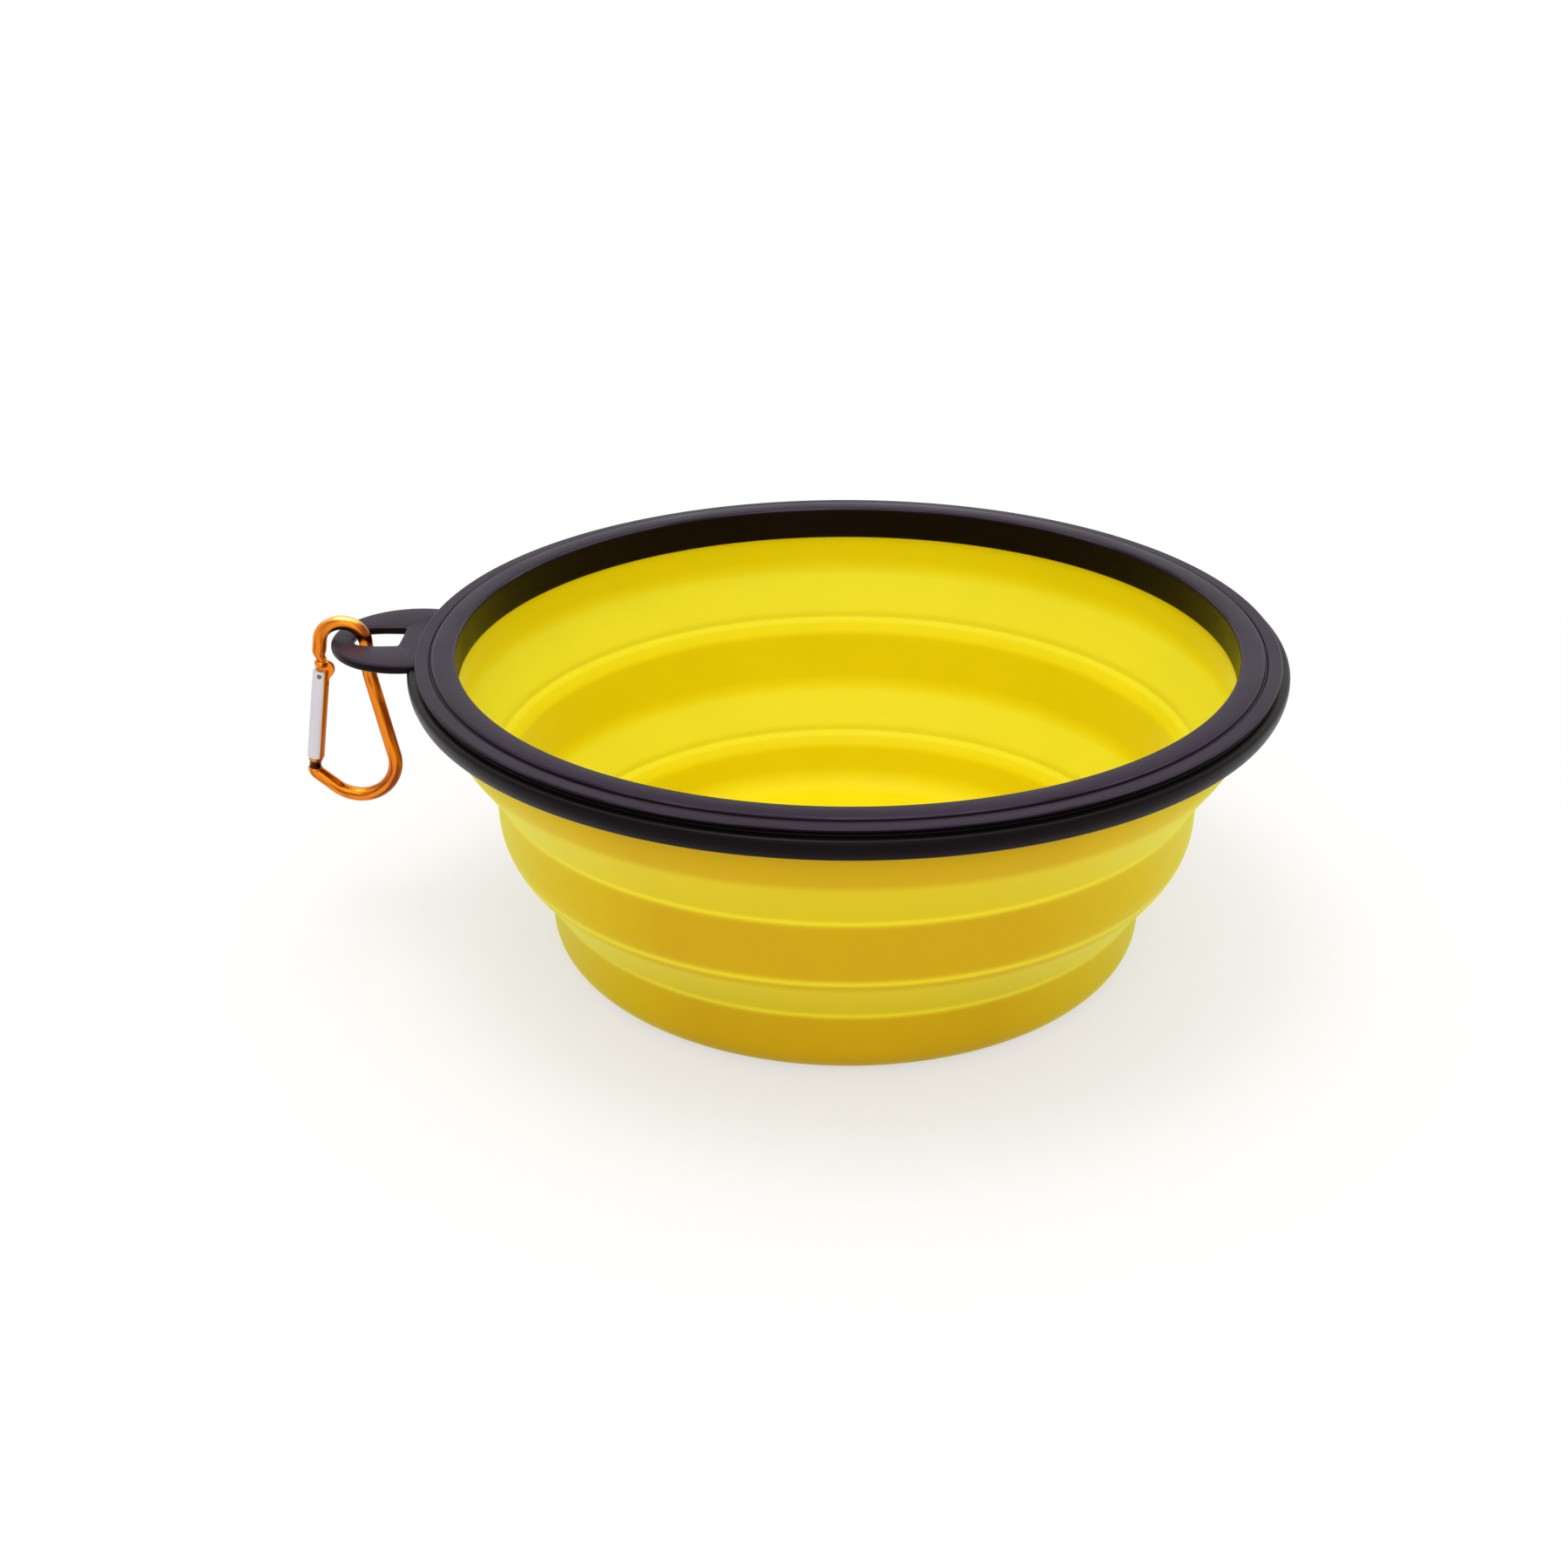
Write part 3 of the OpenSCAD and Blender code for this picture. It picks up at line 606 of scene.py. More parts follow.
class Graph:
    """The node tree of a material or world, with a short call for each kind of node that the looks need."""

    def __init__(self, owner):
        owner.use_nodes = True
        self.owner = owner
        self.nodes, self.links = owner.node_tree.nodes, owner.node_tree.links

    def put(self, socket, value):
        """Links a socket to an output, or sets it to a number, a vector or a colour."""
        if isinstance(value, bpy.types.NodeSocket):
            self.links.new(value, socket)
        elif socket.type == "RGBA":
            socket.default_value = (*value, 1.0)
        else:
            socket.default_value = value

    def add(self, kind, inputs, output=0, **settings):
        """Adds a node, sets what it does and fills its inputs, and gives one of its outputs."""
        node = self.nodes.new("ShaderNode" + kind)
        for key, value in settings.items():
            setattr(node, key, value)
        for key, value in inputs.items():
            self.put(node.inputs[key], value)
        return node.outputs[output]

    def place(self):
        """The point on the object."""
        return self.add("TexCoord", {}, "Object")

    def noise(self, scale, detail, stretch=(1, 1, 1), where=None):
        """Noise on the point on the object, or on another vector, stretched by a Mapping node."""
        vector = self.add("Mapping", {"Vector": self.place() if where is None else where, "Scale": stretch})
        return self.add("TexNoise", {"Vector": vector, "Scale": scale, "Detail": detail})

    def attribute(self, name, output="Fac"):
        """A named attribute, as a number or as a vector."""
        return self.add("Attribute", {}, output, attribute_name=name)

    def math(self, operation, *values):
        """The calculation of that name, such as MULTIPLY, on numbers or outputs."""
        return self.add("Math", dict(enumerate(values)), operation=operation)

    def vector(self, operation, *values, output="Vector"):
        """The calculation of that name, such as NORMALIZE, on vectors or outputs."""
        return self.add("VectorMath", dict(enumerate(values)), output, operation=operation)

    def ranged(self, value, span, result, **settings):
        """A value carried from one span to another."""
        inputs = {"Value": value, "From Min": span[0], "From Max": span[1]}
        return self.add("MapRange", inputs | {"To Min": result[0], "To Max": result[1]}, **settings)

    def mixed(self, factor, first, second, blend="MIX"):
        """A mix of two colours or outputs."""
        return self.add("Mix", {0: factor, 6: first, 7: second}, 2, data_type="RGBA", blend_type=blend)

    def seen(self, *rays):
        """1 on the named kinds of ray, such as Camera or Glossy, and 0 on all others."""
        path = self.nodes.new("ShaderNodeLightPath")
        outputs = [path.outputs[f"Is {ray} Ray"] for ray in rays]
        share_seen = outputs[0]
        for output in outputs[1:]:
            share_seen = self.math("MAXIMUM", share_seen, output)
        return share_seen

    def bump(self, height, strength, distance):
        """A normal bumped by a height output."""
        return self.add("Bump", {"Height": height, "Strength": strength, "Distance": distance})

    def principled(self, inputs):
        """Fills the Principled shader's inputs, and gives the material."""
        for key, value in inputs.items():
            self.put(self.nodes["Principled BSDF"].inputs[key], value)
        return self.owner


def scaled(colour_value, factor):
    """A colour times a factor."""
    return tuple(channel * factor for channel in colour_value)


def silicone_material(name, finish):
    """Satin silicone with a faint mottle, a dusty sheen and fine bloom, and painted light in its colour: a
    painted glow where the wall is thin and at the creases, a lighter inner side, and lighter yellow at the
    left and the right.
    """
    g = Graph(bpy.data.materials.new(name))
    thin = g.attribute("thin")
    mottle = g.noise(scale=55.0, detail=4.0)
    # Painted glow where the wall is thin
    outer = g.mixed(thin, finish.band_yellow, finish.fold_glow_yellow)
    # Painted light at the left and the right
    outer = g.mixed(side_light_share(g), outer, finish.side_light_yellow)
    # Painted light: the inner side lighter, and lighter still where the wall is thin
    inner = g.mixed(thin, finish.lit_lining_yellow, finish.glow_yellow)
    base = g.mixed(g.attribute("inside"), outer, inner)
    # Painted glow at the creases
    base = g.mixed(g.attribute("crease"), base, finish.crease_glow_yellow)
    shade = g.ranged(mottle, NOISE_SPAN, (0.965, 1.0))
    grey = g.add("CombineColor", {"Red": shade, "Green": shade, "Blue": shade})
    rough = finish.silicone_roughness
    return g.principled({
        "Base Color": g.mixed(1.0, base, grey, "MULTIPLY"),
        "Roughness": g.ranged(mottle, NOISE_SPAN, (rough - 0.04, rough + 0.06)),
        "Normal": g.bump(g.noise(scale=900.0, detail=2.0), strength=0.08, distance=0.4 * MM),
        "IOR": 1.41,
        "Specular IOR Level": 0.16,
        "Sheen Weight": 1.0,
        "Sheen Roughness": 0.3,
        "Sheen Tint": finish.silicone_sheen,
    })


def side_light_share(g):
    """The share of painted side light: how far to the left or right a point lies, |x| / r, carried from
    0.45..0.95 to 0..0.9.
    """
    level = g.vector("MULTIPLY", g.place(), (1.0, 1.0, 0.0))
    parts = g.add("SeparateXYZ", {"Vector": g.vector("NORMALIZE", level)}, "X")
    return g.ranged(g.math("ABSOLUTE", parts), (0.45, 0.95), (0.0, 0.9))


def rim_material(name, finish):
    """Satin moulded plastic: near black sides, a purple-grey top with painted top light, and painted
    highlights on the upper edges, broken into patches as wear would be.
    """
    g = Graph(bpy.data.materials.new(name))
    patches = g.noise(scale=40.0, detail=5.0)
    broad = g.noise(scale=14.0, detail=2.0)
    # Painted top light, and painted highlights on the upper edges in patches
    lit = g.math("MULTIPLY", g.attribute("top"), g.ranged(broad, NOISE_SPAN, (0.55, 1.0)))
    highlighted = g.math("MULTIPLY", g.attribute("edge"), g.ranged(patches, (0.4, 0.65), (0.1, 0.9)))
    base = g.mixed(lit, finish.rim_charcoal, finish.rim_lit_top)
    rough = finish.rim_roughness
    return g.principled({
        "Base Color": g.mixed(highlighted, base, finish.rim_edge_highlight),
        "Roughness": g.ranged(patches, NOISE_SPAN, (rough - 0.05, rough + 0.07)),
        "Normal": g.bump(g.noise(scale=1600.0, detail=2.0), strength=0.12, distance=0.3 * MM),
        "IOR": 1.5,
        "Specular IOR Level": 0.1,
        "Specular Tint": finish.rim_gloss,
    })


def anodised_material(name, finish):
    """Orange anodised aluminium with painted light: painted dark reflections in streaks that run along the
    rod, deeper on the side that looks down and towards the bowl, a painted highlight on the hook's crest, and
    painted shade, nearly black, down in the latch's notch.

    The streaks are noise of the flow attribute: the run along the rod, and the cosine and sine around it.
    """
    g = Graph(bpy.data.materials.new(name))
    flow = g.attribute("flow", "Vector")
    streaks = g.noise(scale=2.6, detail=3.0, stretch=(0.5, 1.0, 1.0), where=flow)
    # Painted dark reflections: streaks, deeper on the side that looks down and towards the bowl
    depth = g.math("MULTIPLY_ADD", g.attribute("lee"), 0.2, streaks)
    dark = g.ranged(depth, (0.52, 0.68), (0.0, 0.9))
    base = g.mixed(dark, finish.anodised_orange, finish.anodised_painted_shade)
    # Painted highlight on the hook's crest
    base = g.mixed(g.attribute("crest"), base, finish.anodised_highlight)
    # Painted shade, nearly black, in the latch's notch
    notch_shade = scaled(finish.anodised_painted_shade, 0.08)
    base = g.mixed(g.attribute("hollow"), base, notch_shade)
    fine = g.noise(scale=420.0, detail=3.0)
    return g.principled({
        "Base Color": base,
        "Roughness": g.ranged(fine, NOISE_SPAN, (0.16, 0.26)),
        "Normal": g.bump(fine, strength=0.05, distance=0.3 * MM),
        "Metallic": 1.0,
        "Coat Weight": 0.3,
        "Coat Roughness": 0.12,
    })


def gate_material(name, finish):
    """Brushed bare aluminium, with the side that faces into the carabiner orange.

    The side is told by the distance from the gate's middle line, across the gate, in shares of its width.
    """
    c = bpy.context.scene.petbowl_carabiner
    rivet = np.array(joint("gate_open")["pos_m"])
    across = np.array([math.cos(c.lean), 0.0, -math.sin(c.lean)])
    g = Graph(bpy.data.materials.new(name))
    distance = g.vector("DOT_PRODUCT", g.place(), across, output="Value")
    middle = float(rivet @ across)
    orange_from, orange_full = middle + c.gate_width * 0.29, middle + c.gate_width * 0.32
    side = g.ranged(distance, (orange_from, orange_full), (0.0, 1.0))
    lines = g.noise(scale=900.0, detail=3.0, stretch=(1.0, 1.0, 0.04))
    shade = g.ranged(lines, NOISE_SPAN, (0.0, 1.0))
    line_shade, inner_orange = scaled(finish.bare_metal, 0.88), scaled(finish.anodised_orange, 0.62)
    bare = g.mixed(shade, line_shade, finish.bare_metal)
    return g.principled({
        "Base Color": g.mixed(side, bare, inner_orange),
        "Roughness": g.ranged(lines, NOISE_SPAN, (0.3, 0.42)),
        "Normal": g.bump(lines, strength=0.06, distance=0.2 * MM),
        "Metallic": 1.0,
    })


def steel_material(name, finish):
    """Plain steel wire and pin, slightly mottled."""
    g = Graph(bpy.data.materials.new(name))
    spots = g.noise(scale=1200.0, detail=2.0)
    spot_shade = scaled(finish.pin_metal, 0.6)
    return g.principled({
        "Base Color": g.mixed(spots, spot_shade, finish.pin_metal),
        "Roughness": g.ranged(spots, NOISE_SPAN, (0.3, 0.45)),
        "Metallic": 1.0,
    })


def floor_material(name, settings):
    """A pale matt floor that camera and reflection rays see fade to plain white far from the bowl."""
    g = Graph(bpy.data.materials.new(name))
    tone = scaled(WHITE, settings.floor_tone)
    g.principled({
        "Base Color": g.mixed(g.noise(scale=6.0, detail=2.0), tone, scaled(tone, 0.995)),
        "Roughness": 0.9,
        "Specular IOR Level": 0.1,
    })
    distance = g.vector("LENGTH", g.place(), output="Value")
    near = settings.shadow_reach * 0.3
    far = g.ranged(
        distance, (near, settings.shadow_reach), (settings.shadow_lift, 1.0), interpolation_type="SMOOTHSTEP"
    )
    white = g.add("Emission", {"Color": WHITE, "Strength": 1.0})
    share_of_white = g.math("MULTIPLY", g.seen("Camera", "Glossy"), far)
    shader = g.nodes["Principled BSDF"].outputs[0]
    mix = g.add("MixShader", {0: share_of_white, 1: shader, 2: white})
    g.put(g.nodes["Material Output"].inputs["Surface"], mix)
    return g.owner


MATERIALS = {
    "yellow_silicone": silicone_material,
    "charcoal_plastic": rim_material,
    "orange_anodised": anodised_material,
    "bare_and_orange_gate": gate_material,
    "pin_steel": steel_material,
}


def paint(piece, name):
    """Gives a piece the material of that name, made on first use."""
    material = bpy.data.materials.get(name) or MATERIALS[name](name, bpy.context.scene.petbowl_finish)
    piece.data.materials.clear()
    piece.data.materials.append(material)


def dress(piece, name):
    """Gives a piece its material."""
    paint(piece, name)


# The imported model

def node_top(node):
    """The highest corner of a node's box: its widest reach at +X, and its top."""
    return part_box(node)[1]


def node_low(node):
    """The lowest corner of a node's box."""
    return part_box(node)[0]


def joint(name):
    """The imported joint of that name."""
    return next(j for j in frame["joints"] if j["name"] == name)


# The silicone bowl

class BowlProfile:
    """The outer and inner lines of the silicone in section, from the base up, as points (r, z)."""

    def __init__(self, sizes):
        self.sizes = sizes
        self.lower_fold_z = node_low("lower_fold").z
        self.middle_z = node_top("lower_fold").z
        self.upper_fold_z = node_low("upper_fold").z
        self.upper_z = node_top("upper_fold").z
        self.flange_top = node_top("upper_band").z
        self.flange_r = node_top("upper_band").x
        self.upper_r = node_top("upper_fold").x
        self.middle_top = node_top("middle_band").x
        self.middle_low = self.middle_top - sizes.band_lean
        self.base_top = node_top("base_cup").x
        self.base_low = self.base_top - sizes.base_lean
        self.seat = node_low("rim_inner_ring").z - sizes.rim_gap
        self.outer = self.line(self.outer_corners())
        self.inner = self.line(self.inner_corners())

    def line(self, corners):
        """The rounded line through corners, with straight stretches cut four times as coarsely as curves."""
        return resampled(rounded_line(corners, self.sizes.step), 4 * self.sizes.step)

    def outer_corners(self):
        """The outer line: underside with its ring groove, base edge, base band, fold, middle band and so on.

        The highest knee is softer than the other by a fifth.
        """
        s = self.sizes
        groove_out = self.base_low - s.foot_inset
        groove_in = groove_out - s.foot_width
        small = s.foot_groove / 2
        return [
            (0, 0, 0),
            (groove_in, 0, small),
            (groove_in, s.foot_groove, small / 2),
            (groove_out, s.foot_groove, small / 2),
            (groove_out, 0, small),
            (self.base_low, 0, s.base_edge),
            (self.base_top, self.lower_fold_z, s.crook),
            (self.middle_low, self.middle_z, s.knee),
            (self.middle_top, self.upper_fold_z, s.crook),
            (self.upper_r, self.upper_z, s.knee * 1.2),
            (self.upper_r, self.flange_top - s.flange, 0),
        ]

    def fold_inside(self, low, high, band_r):
        """A fold's inner corners from the top: it leaves the band above, meets the crease and the ledge.

        low and high are the fold's outer corners. The crease's reach up and down and the roundings beside
        it are shares of its height, and the roundings at the bands are shares of the crook.
        """
        s = self.sizes
        d = unit(np.subtract(high, low))
        base = np.asarray(low) + np.array([-d[1], d[0]]) * s.fold_wall

        def at_radius(r):
            """The fold's inner line at a radius."""
            return (r, base[1] + (r - base[0]) * d[1] / d[0])

        def at_height(z, out=0.0):
            """The fold's inner line at a height, moved out into the wall."""
            return (base[0] + (z - base[1]) * d[0] / d[1] + out, z)

        crease_z = low[1] + s.crease_height
        up, down, soft = s.crease_height * 0.88, s.crease_height * 0.55, s.crease_height * 0.24
        return [
            (*at_radius(high[0] - s.band_wall), s.crook * 0.95),
            (*at_height(crease_z + up), soft * 2),
            (*at_height(crease_z, s.crease_depth), soft * 0.7),
            (*at_height(crease_z - down), soft),
            (*at_radius(band_r), s.crook * 0.36),
        ]

    def inner_corners(self):
        """The inner line from the base up: floor, base band, ledge, crease, fold, middle band and so on."""
        s = self.sizes
        lower = self.fold_inside(
            (self.base_top, self.lower_fold_z), (self.middle_low, self.middle_z), self.base_top - s.band_wall
        )
        upper = self.fold_inside(
            (self.middle_top, self.upper_fold_z), (self.upper_r, self.upper_z), self.middle_top - s.band_wall
        )
        floor = [(self.base_low - s.band_wall, s.floor_wall, s.floor_edge), (0, s.floor_wall, 0)]
        down = [(self.upper_r - s.band_wall, self.seat, 0), *upper, *lower, *floor]
        return down[::-1]

    def cuts(self):
        """The heights at which the silicone is split into pieces, each on a straight stretch of a band.

        The foot's lies under the base, so that the lowest slice goes all the way down.
        """
        s = self.sizes
        return {
            "foot": -MM,
            "base": self.lower_fold_z - s.base_cut,
            "middle_low": self.middle_z + s.middle_low_cut,
            "middle_high": self.upper_fold_z - s.middle_high_cut,
            "top": self.upper_z + s.top_cut,
        }

    def slice(self, low, high):
        """The closed section of the wall between two of the cuts."""
        span = self.cuts()[low], self.cuts()[high]
        return np.concatenate([between(self.outer, *span), between(self.inner, *span)[::-1]])

    def thinness(self, section):
        """1 on the folds, where the wall is thin, and 0 on the bands, eased over the corners: the share of
        the painted glow of the thin wall.
        """
        ease = self.sizes.thin_ease
        z = section[:, 1]

        def inside(low, high):
            """1 between two heights, eased from 0 at either end."""
            up = np.clip((z - low) / ease, 0, 1)
            return np.minimum(up, np.clip((high - ease - z) / ease, 0, 1))

        return np.maximum(inside(self.lower_fold_z, self.middle_z), inside(self.upper_fold_z, self.upper_z))

    def lining(self, section):
        """1 on the inner side of the wall and on the floor, which are painted lighter, and 0 on the outer
        side and the underside.

        A point is on the inner side when it lies deeper than 0.6 of the thinnest wall there.
        """
        deep = 0.6
        outer_r = np.interp(section[:, 1], self.outer[:, 1], self.outer[:, 0])
        inner = outer_r - section[:, 0] > self.sizes.fold_wall * deep
        return (inner & (section[:, 1] > self.sizes.floor_wall * deep)).astype(float)

    def creasing(self, section):
        """1 at the outer line of each crease, with a painted glow for the light that comes through there,
        falling off to either side.

        The share is the line's strength times exp(-d d), where d is the distance from the line in glow
        widths. The two lines under the folds are shifted up and the one under the middle band down.
        """
        width = self.sizes.glow_width
        shift, strength = np.array([0.3, 0.3, -0.6]), np.array([1.0, 1.0, 0.9])
        lines = np.array([self.lower_fold_z, self.upper_fold_z, self.middle_z]) + shift * width
        distance = (section[:, 1][:, None] - lines) / width
        near = (np.exp(-distance**2) * strength).max(1)
        return near * (1 - self.lining(section))

    def piece(self, name, section, slot="silicone_band"):
        """One slice of the bowl, dressed in silicone, with sharp edges at its level faces above the floor."""
        shares = {
            "thin": self.thinness(section), "crease": self.creasing(section), "inside": self.lining(section)
        }
        piece = revolved(name, section, shares)
        flat_ends(piece, self.sizes.floor_wall * 1.5)
        dress(piece, "yellow_silicone")
        return piece


class PETBOWL_OT_top_band(bpy.types.Operator):
    """Top silicone band with the lip and the flange that the rim clamps"""

    bl_idname = "petbowl.top_band"
    bl_label = "Top band"

    def execute(self, context):
        p = BowlProfile(context.scene.petbowl_bowl)
        s = p.sizes
        low = p.cuts()["top"]
        flange_low = p.flange_top - s.flange
        lip_r = p.upper_r - s.seal_wall
        inner_r = p.upper_r - s.band_wall
        section = p.line([
            (inner_r, low, 0),
            (p.upper_r, low, 0),
            (p.upper_r, flange_low, 0),
            (p.flange_r, flange_low, s.flange_edge),
            (p.flange_r, p.flange_top, s.flange_edge),
            (lip_r, p.flange_top, 0),
            (lip_r, p.seat, 0),
            (inner_r, p.seat, 0),
        ])
        piece = p.piece("bowl_top_band", section)
        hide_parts("upper_band")
        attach(piece, "rim")
        return {"FINISHED"}


class PETBOWL_OT_upper_fold(bpy.types.Operator):
    """Upper silicone fold with its two corners, between the rim and the middle band"""

    bl_idname = "petbowl.upper_fold"
    bl_label = "Upper fold"

    def execute(self, context):
        p = BowlProfile(context.scene.petbowl_bowl)
        piece = p.piece("bowl_upper_fold", p.slice("middle_high", "top"), "silicone_fold")
        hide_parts("upper_fold")
        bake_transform(piece)
        return {"FINISHED"}


class PETBOWL_OT_middle_band(bpy.types.Operator):
    """Middle silicone band"""

    bl_idname = "petbowl.middle_band"
    bl_label = "Middle band"

    def execute(self, context):
        p = BowlProfile(context.scene.petbowl_bowl)
        piece = p.piece("bowl_middle_band", p.slice("middle_low", "middle_high"))
        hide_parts("middle_band")
        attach(piece, "middle")
        return {"FINISHED"}


class PETBOWL_OT_lower_fold(bpy.types.Operator):
    """Lower silicone fold with its two corners, between the middle band and the base"""

    bl_idname = "petbowl.lower_fold"
    bl_label = "Lower fold"

    def execute(self, context):
        p = BowlProfile(context.scene.petbowl_bowl)
        piece = p.piece("bowl_lower_fold", p.slice("base", "middle_low"), "silicone_fold")
        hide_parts("lower_fold")
        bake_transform(piece)
        return {"FINISHED"}


class PETBOWL_OT_base(bpy.types.Operator):
    """Base band and floor in one piece"""

    bl_idname = "petbowl.base"
    bl_label = "Base"

    def execute(self, context):
        p = BowlProfile(context.scene.petbowl_bowl)
        piece = p.piece("bowl_base", p.slice("foot", "base"))
        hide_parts("base_cup")
        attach(piece, "base")
        return {"FINISHED"}


# The rim

def ring_section(corners, curve_step=0.12 * MM, straight_step=0.8 * MM):
    """The closed section of a ring from corners that end where they start."""
    return resampled(rounded_line(corners, curve_step), straight_step)[:-1]


def finish_rim_piece(piece, above):
    """Marks painted top light and edge highlights above a height, and dresses a piece of the rim."""
    mark_top_light(piece, above)
    dress(piece, "charcoal_plastic")
    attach(piece, "rim")


class PETBOWL_OT_inner_ring(bpy.types.Operator):
    """Inner ring: a crowned head and the thin leg that lines the mouth"""

    bl_idname = "petbowl.inner_ring"
    bl_label = "Inner ring"

    def execute(self, context):
        rim = context.scene.petbowl_rim
        low, top = node_low("rim_inner_ring").z, node_top("rim_inner_ring").z
        edge = top - rim.crown
        sill = edge - rim.seam_depth
        shoulder = edge - rim.head_height
        leg_r, head_r = rim.mouth + rim.leg, rim.mouth + rim.head
        # The sill spans nine tenths of the seam
        sill_r = head_r + rim.seam * 0.9
        start = (rim.mouth + rim.leg * 0.5, low, 0)
        piece = revolved("rim_inner", ring_section([
            start,
            (leg_r, low, rim.leg * 0.3),
            (leg_r, shoulder, 0),
            (sill_r, shoulder, 0),
            (sill_r, sill, 0),
            (head_r, sill, rim.fine_edge),
            (head_r, edge, rim.head_outer_edge),
            (rim.mouth + rim.head * 0.5, top, rim.head_crest_edge),
            (rim.mouth, edge, rim.head_inner_edge),
            (rim.mouth, low, rim.leg * 0.3),
            start,
        ]))
        finish_rim_piece(piece, sill + rim.sill_tone)
        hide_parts("rim_inner_ring")
        return {"FINISHED"}


class PETBOWL_OT_outer_ring(bpy.types.Operator):
    """Outer ring and its hang loop, one moulding"""

    bl_idname = "petbowl.outer_ring"
    bl_label = "Outer ring"

    def execute(self, context):
        rim = context.scene.petbowl_rim
        top = node_top("rim_outer_ring").z
        ring = revolved("rim_outer", ring_section(self.corners(rim, context.scene.petbowl_bowl)))
        finish_rim_piece(ring, top - rim.edge)
        finish_rim_piece(hang_loop(rim), top - rim.loop_drop - rim.loop_wall / 2)
        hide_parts("rim_outer_ring")
        return {"FINISHED"}

    def corners(self, rim, bowl):
        """The ring in section: top edge, side groove, bead, lip under the flange and the flange's seat."""
        low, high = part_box("rim_outer_ring")
        reach, top = high.x, high.z
        flange_low = low.z + rim.under_lip
        inside = rim.mouth + rim.head + rim.seam
        band_r = node_top("upper_fold").x + bowl.rim_gap
        flange_r = node_top("upper_band").x + bowl.rim_gap
        edge_r = reach - rim.bead
        groove_r = edge_r - rim.groove
        groove_top = top - rim.edge
        bead_top = groove_top - rim.groove_height
        slope, fine = rim.groove_slope, rim.fine_edge
        start = ((inside + edge_r) / 2, top, 0)
        return [
            start,
            (edge_r, top, rim.top_outer_edge),
            (edge_r, groove_top, fine * 3),
            (groove_r, groove_top - slope, fine * 1.5),
            (groove_r, bead_top, fine * 2.5),
            (reach - slope, bead_top - slope, rim.bead_edge),
            (reach, low.z + rim.belly_height, rim.belly_edge),
            (reach - rim.belly_tuck, low.z, rim.bead_edge),
            (band_r, low.z, fine * 2),
            (band_r, flange_low, 0),
            (flange_r, flange_low, 0),
            (flange_r, flange_low + bowl.flange, 0),
            (inside, flange_low + bowl.flange, 0),
            (inside, top, rim.top_inner_edge),
            start,
        ]


def hang_loop(rim, rays=256, square_power=14.0, round_power=5.0):
    """The loop as a rounded band between the slot's outline and the loop's outer circle.

    On each ray from the slot's middle, the inner point is where it first meets the slot's straight sides or
    its round tip, taken as a power mean that rounds the corners, and the outer point is where the ray leaves
    the loop's circle or enters the ring. The section between them is a plate whose edges are rounded by
    quarter circles.
    """
    reach, tip = node_top("rim_outer_ring").x, -node_low("rim_outer_ring").x
    top = node_top("rim_inner_ring").z - rim.crown - rim.loop_drop
    near, far = reach + rim.slot_gap, tip - rim.bar
    middle = np.array([-(near + far) / 2, 0.0])
    ray = circle(rays)
    centre = np.array([rim.loop_radius - tip, 0.0]) - middle
    power = np.where(ray[:, 0] < 0, round_power, square_power)
    slot = np.power(
        np.power(np.maximum(ray[:, 0], 0) / ((far - near) / 2), power)
        + np.power(np.abs(ray[:, 1]) / (rim.slot_width / 2), power)
        + np.power(1 / ray_to_circle(ray, centre, rim.loop_radius - rim.bar), power),
        -1 / power,
    )
    along = ray @ -middle
    inside = along**2 - (middle @ middle - (reach - rim.loop_root) ** 2)
    enters = np.where((inside > 0) & (along > 0), along - np.sqrt(np.maximum(inside, 0)), np.inf)
    outer = np.minimum(ray_to_circle(ray, centre, rim.loop_radius), enters)
    e, q = rim.loop_edge, np.linspace(0, math.pi / 2, 7)
    inset = np.concatenate([e * (1 - np.sin(q)), e * (1 - np.cos(q))])
    height = np.concatenate([e * (1 - np.cos(q)) - rim.loop_wall, e * np.sin(q) - e])
    radius = np.concatenate([outer[:, None] - inset[None], slot[:, None] + inset[None, ::-1]], 1)
    radius = np.clip(radius, slot[:, None], outer[:, None])
    grid = np.stack([
        middle[0] + ray[:, :1] * radius,
        ray[:, 1:] * radius,
        np.broadcast_to(top + np.concatenate([height, height[::-1]]), radius.shape),
    ], -1)
    faces = grid_faces(*radius.shape, True)
    return outward(mesh_object("rim_hang_loop", grid.reshape(-1, 3), faces))


# The carabiner

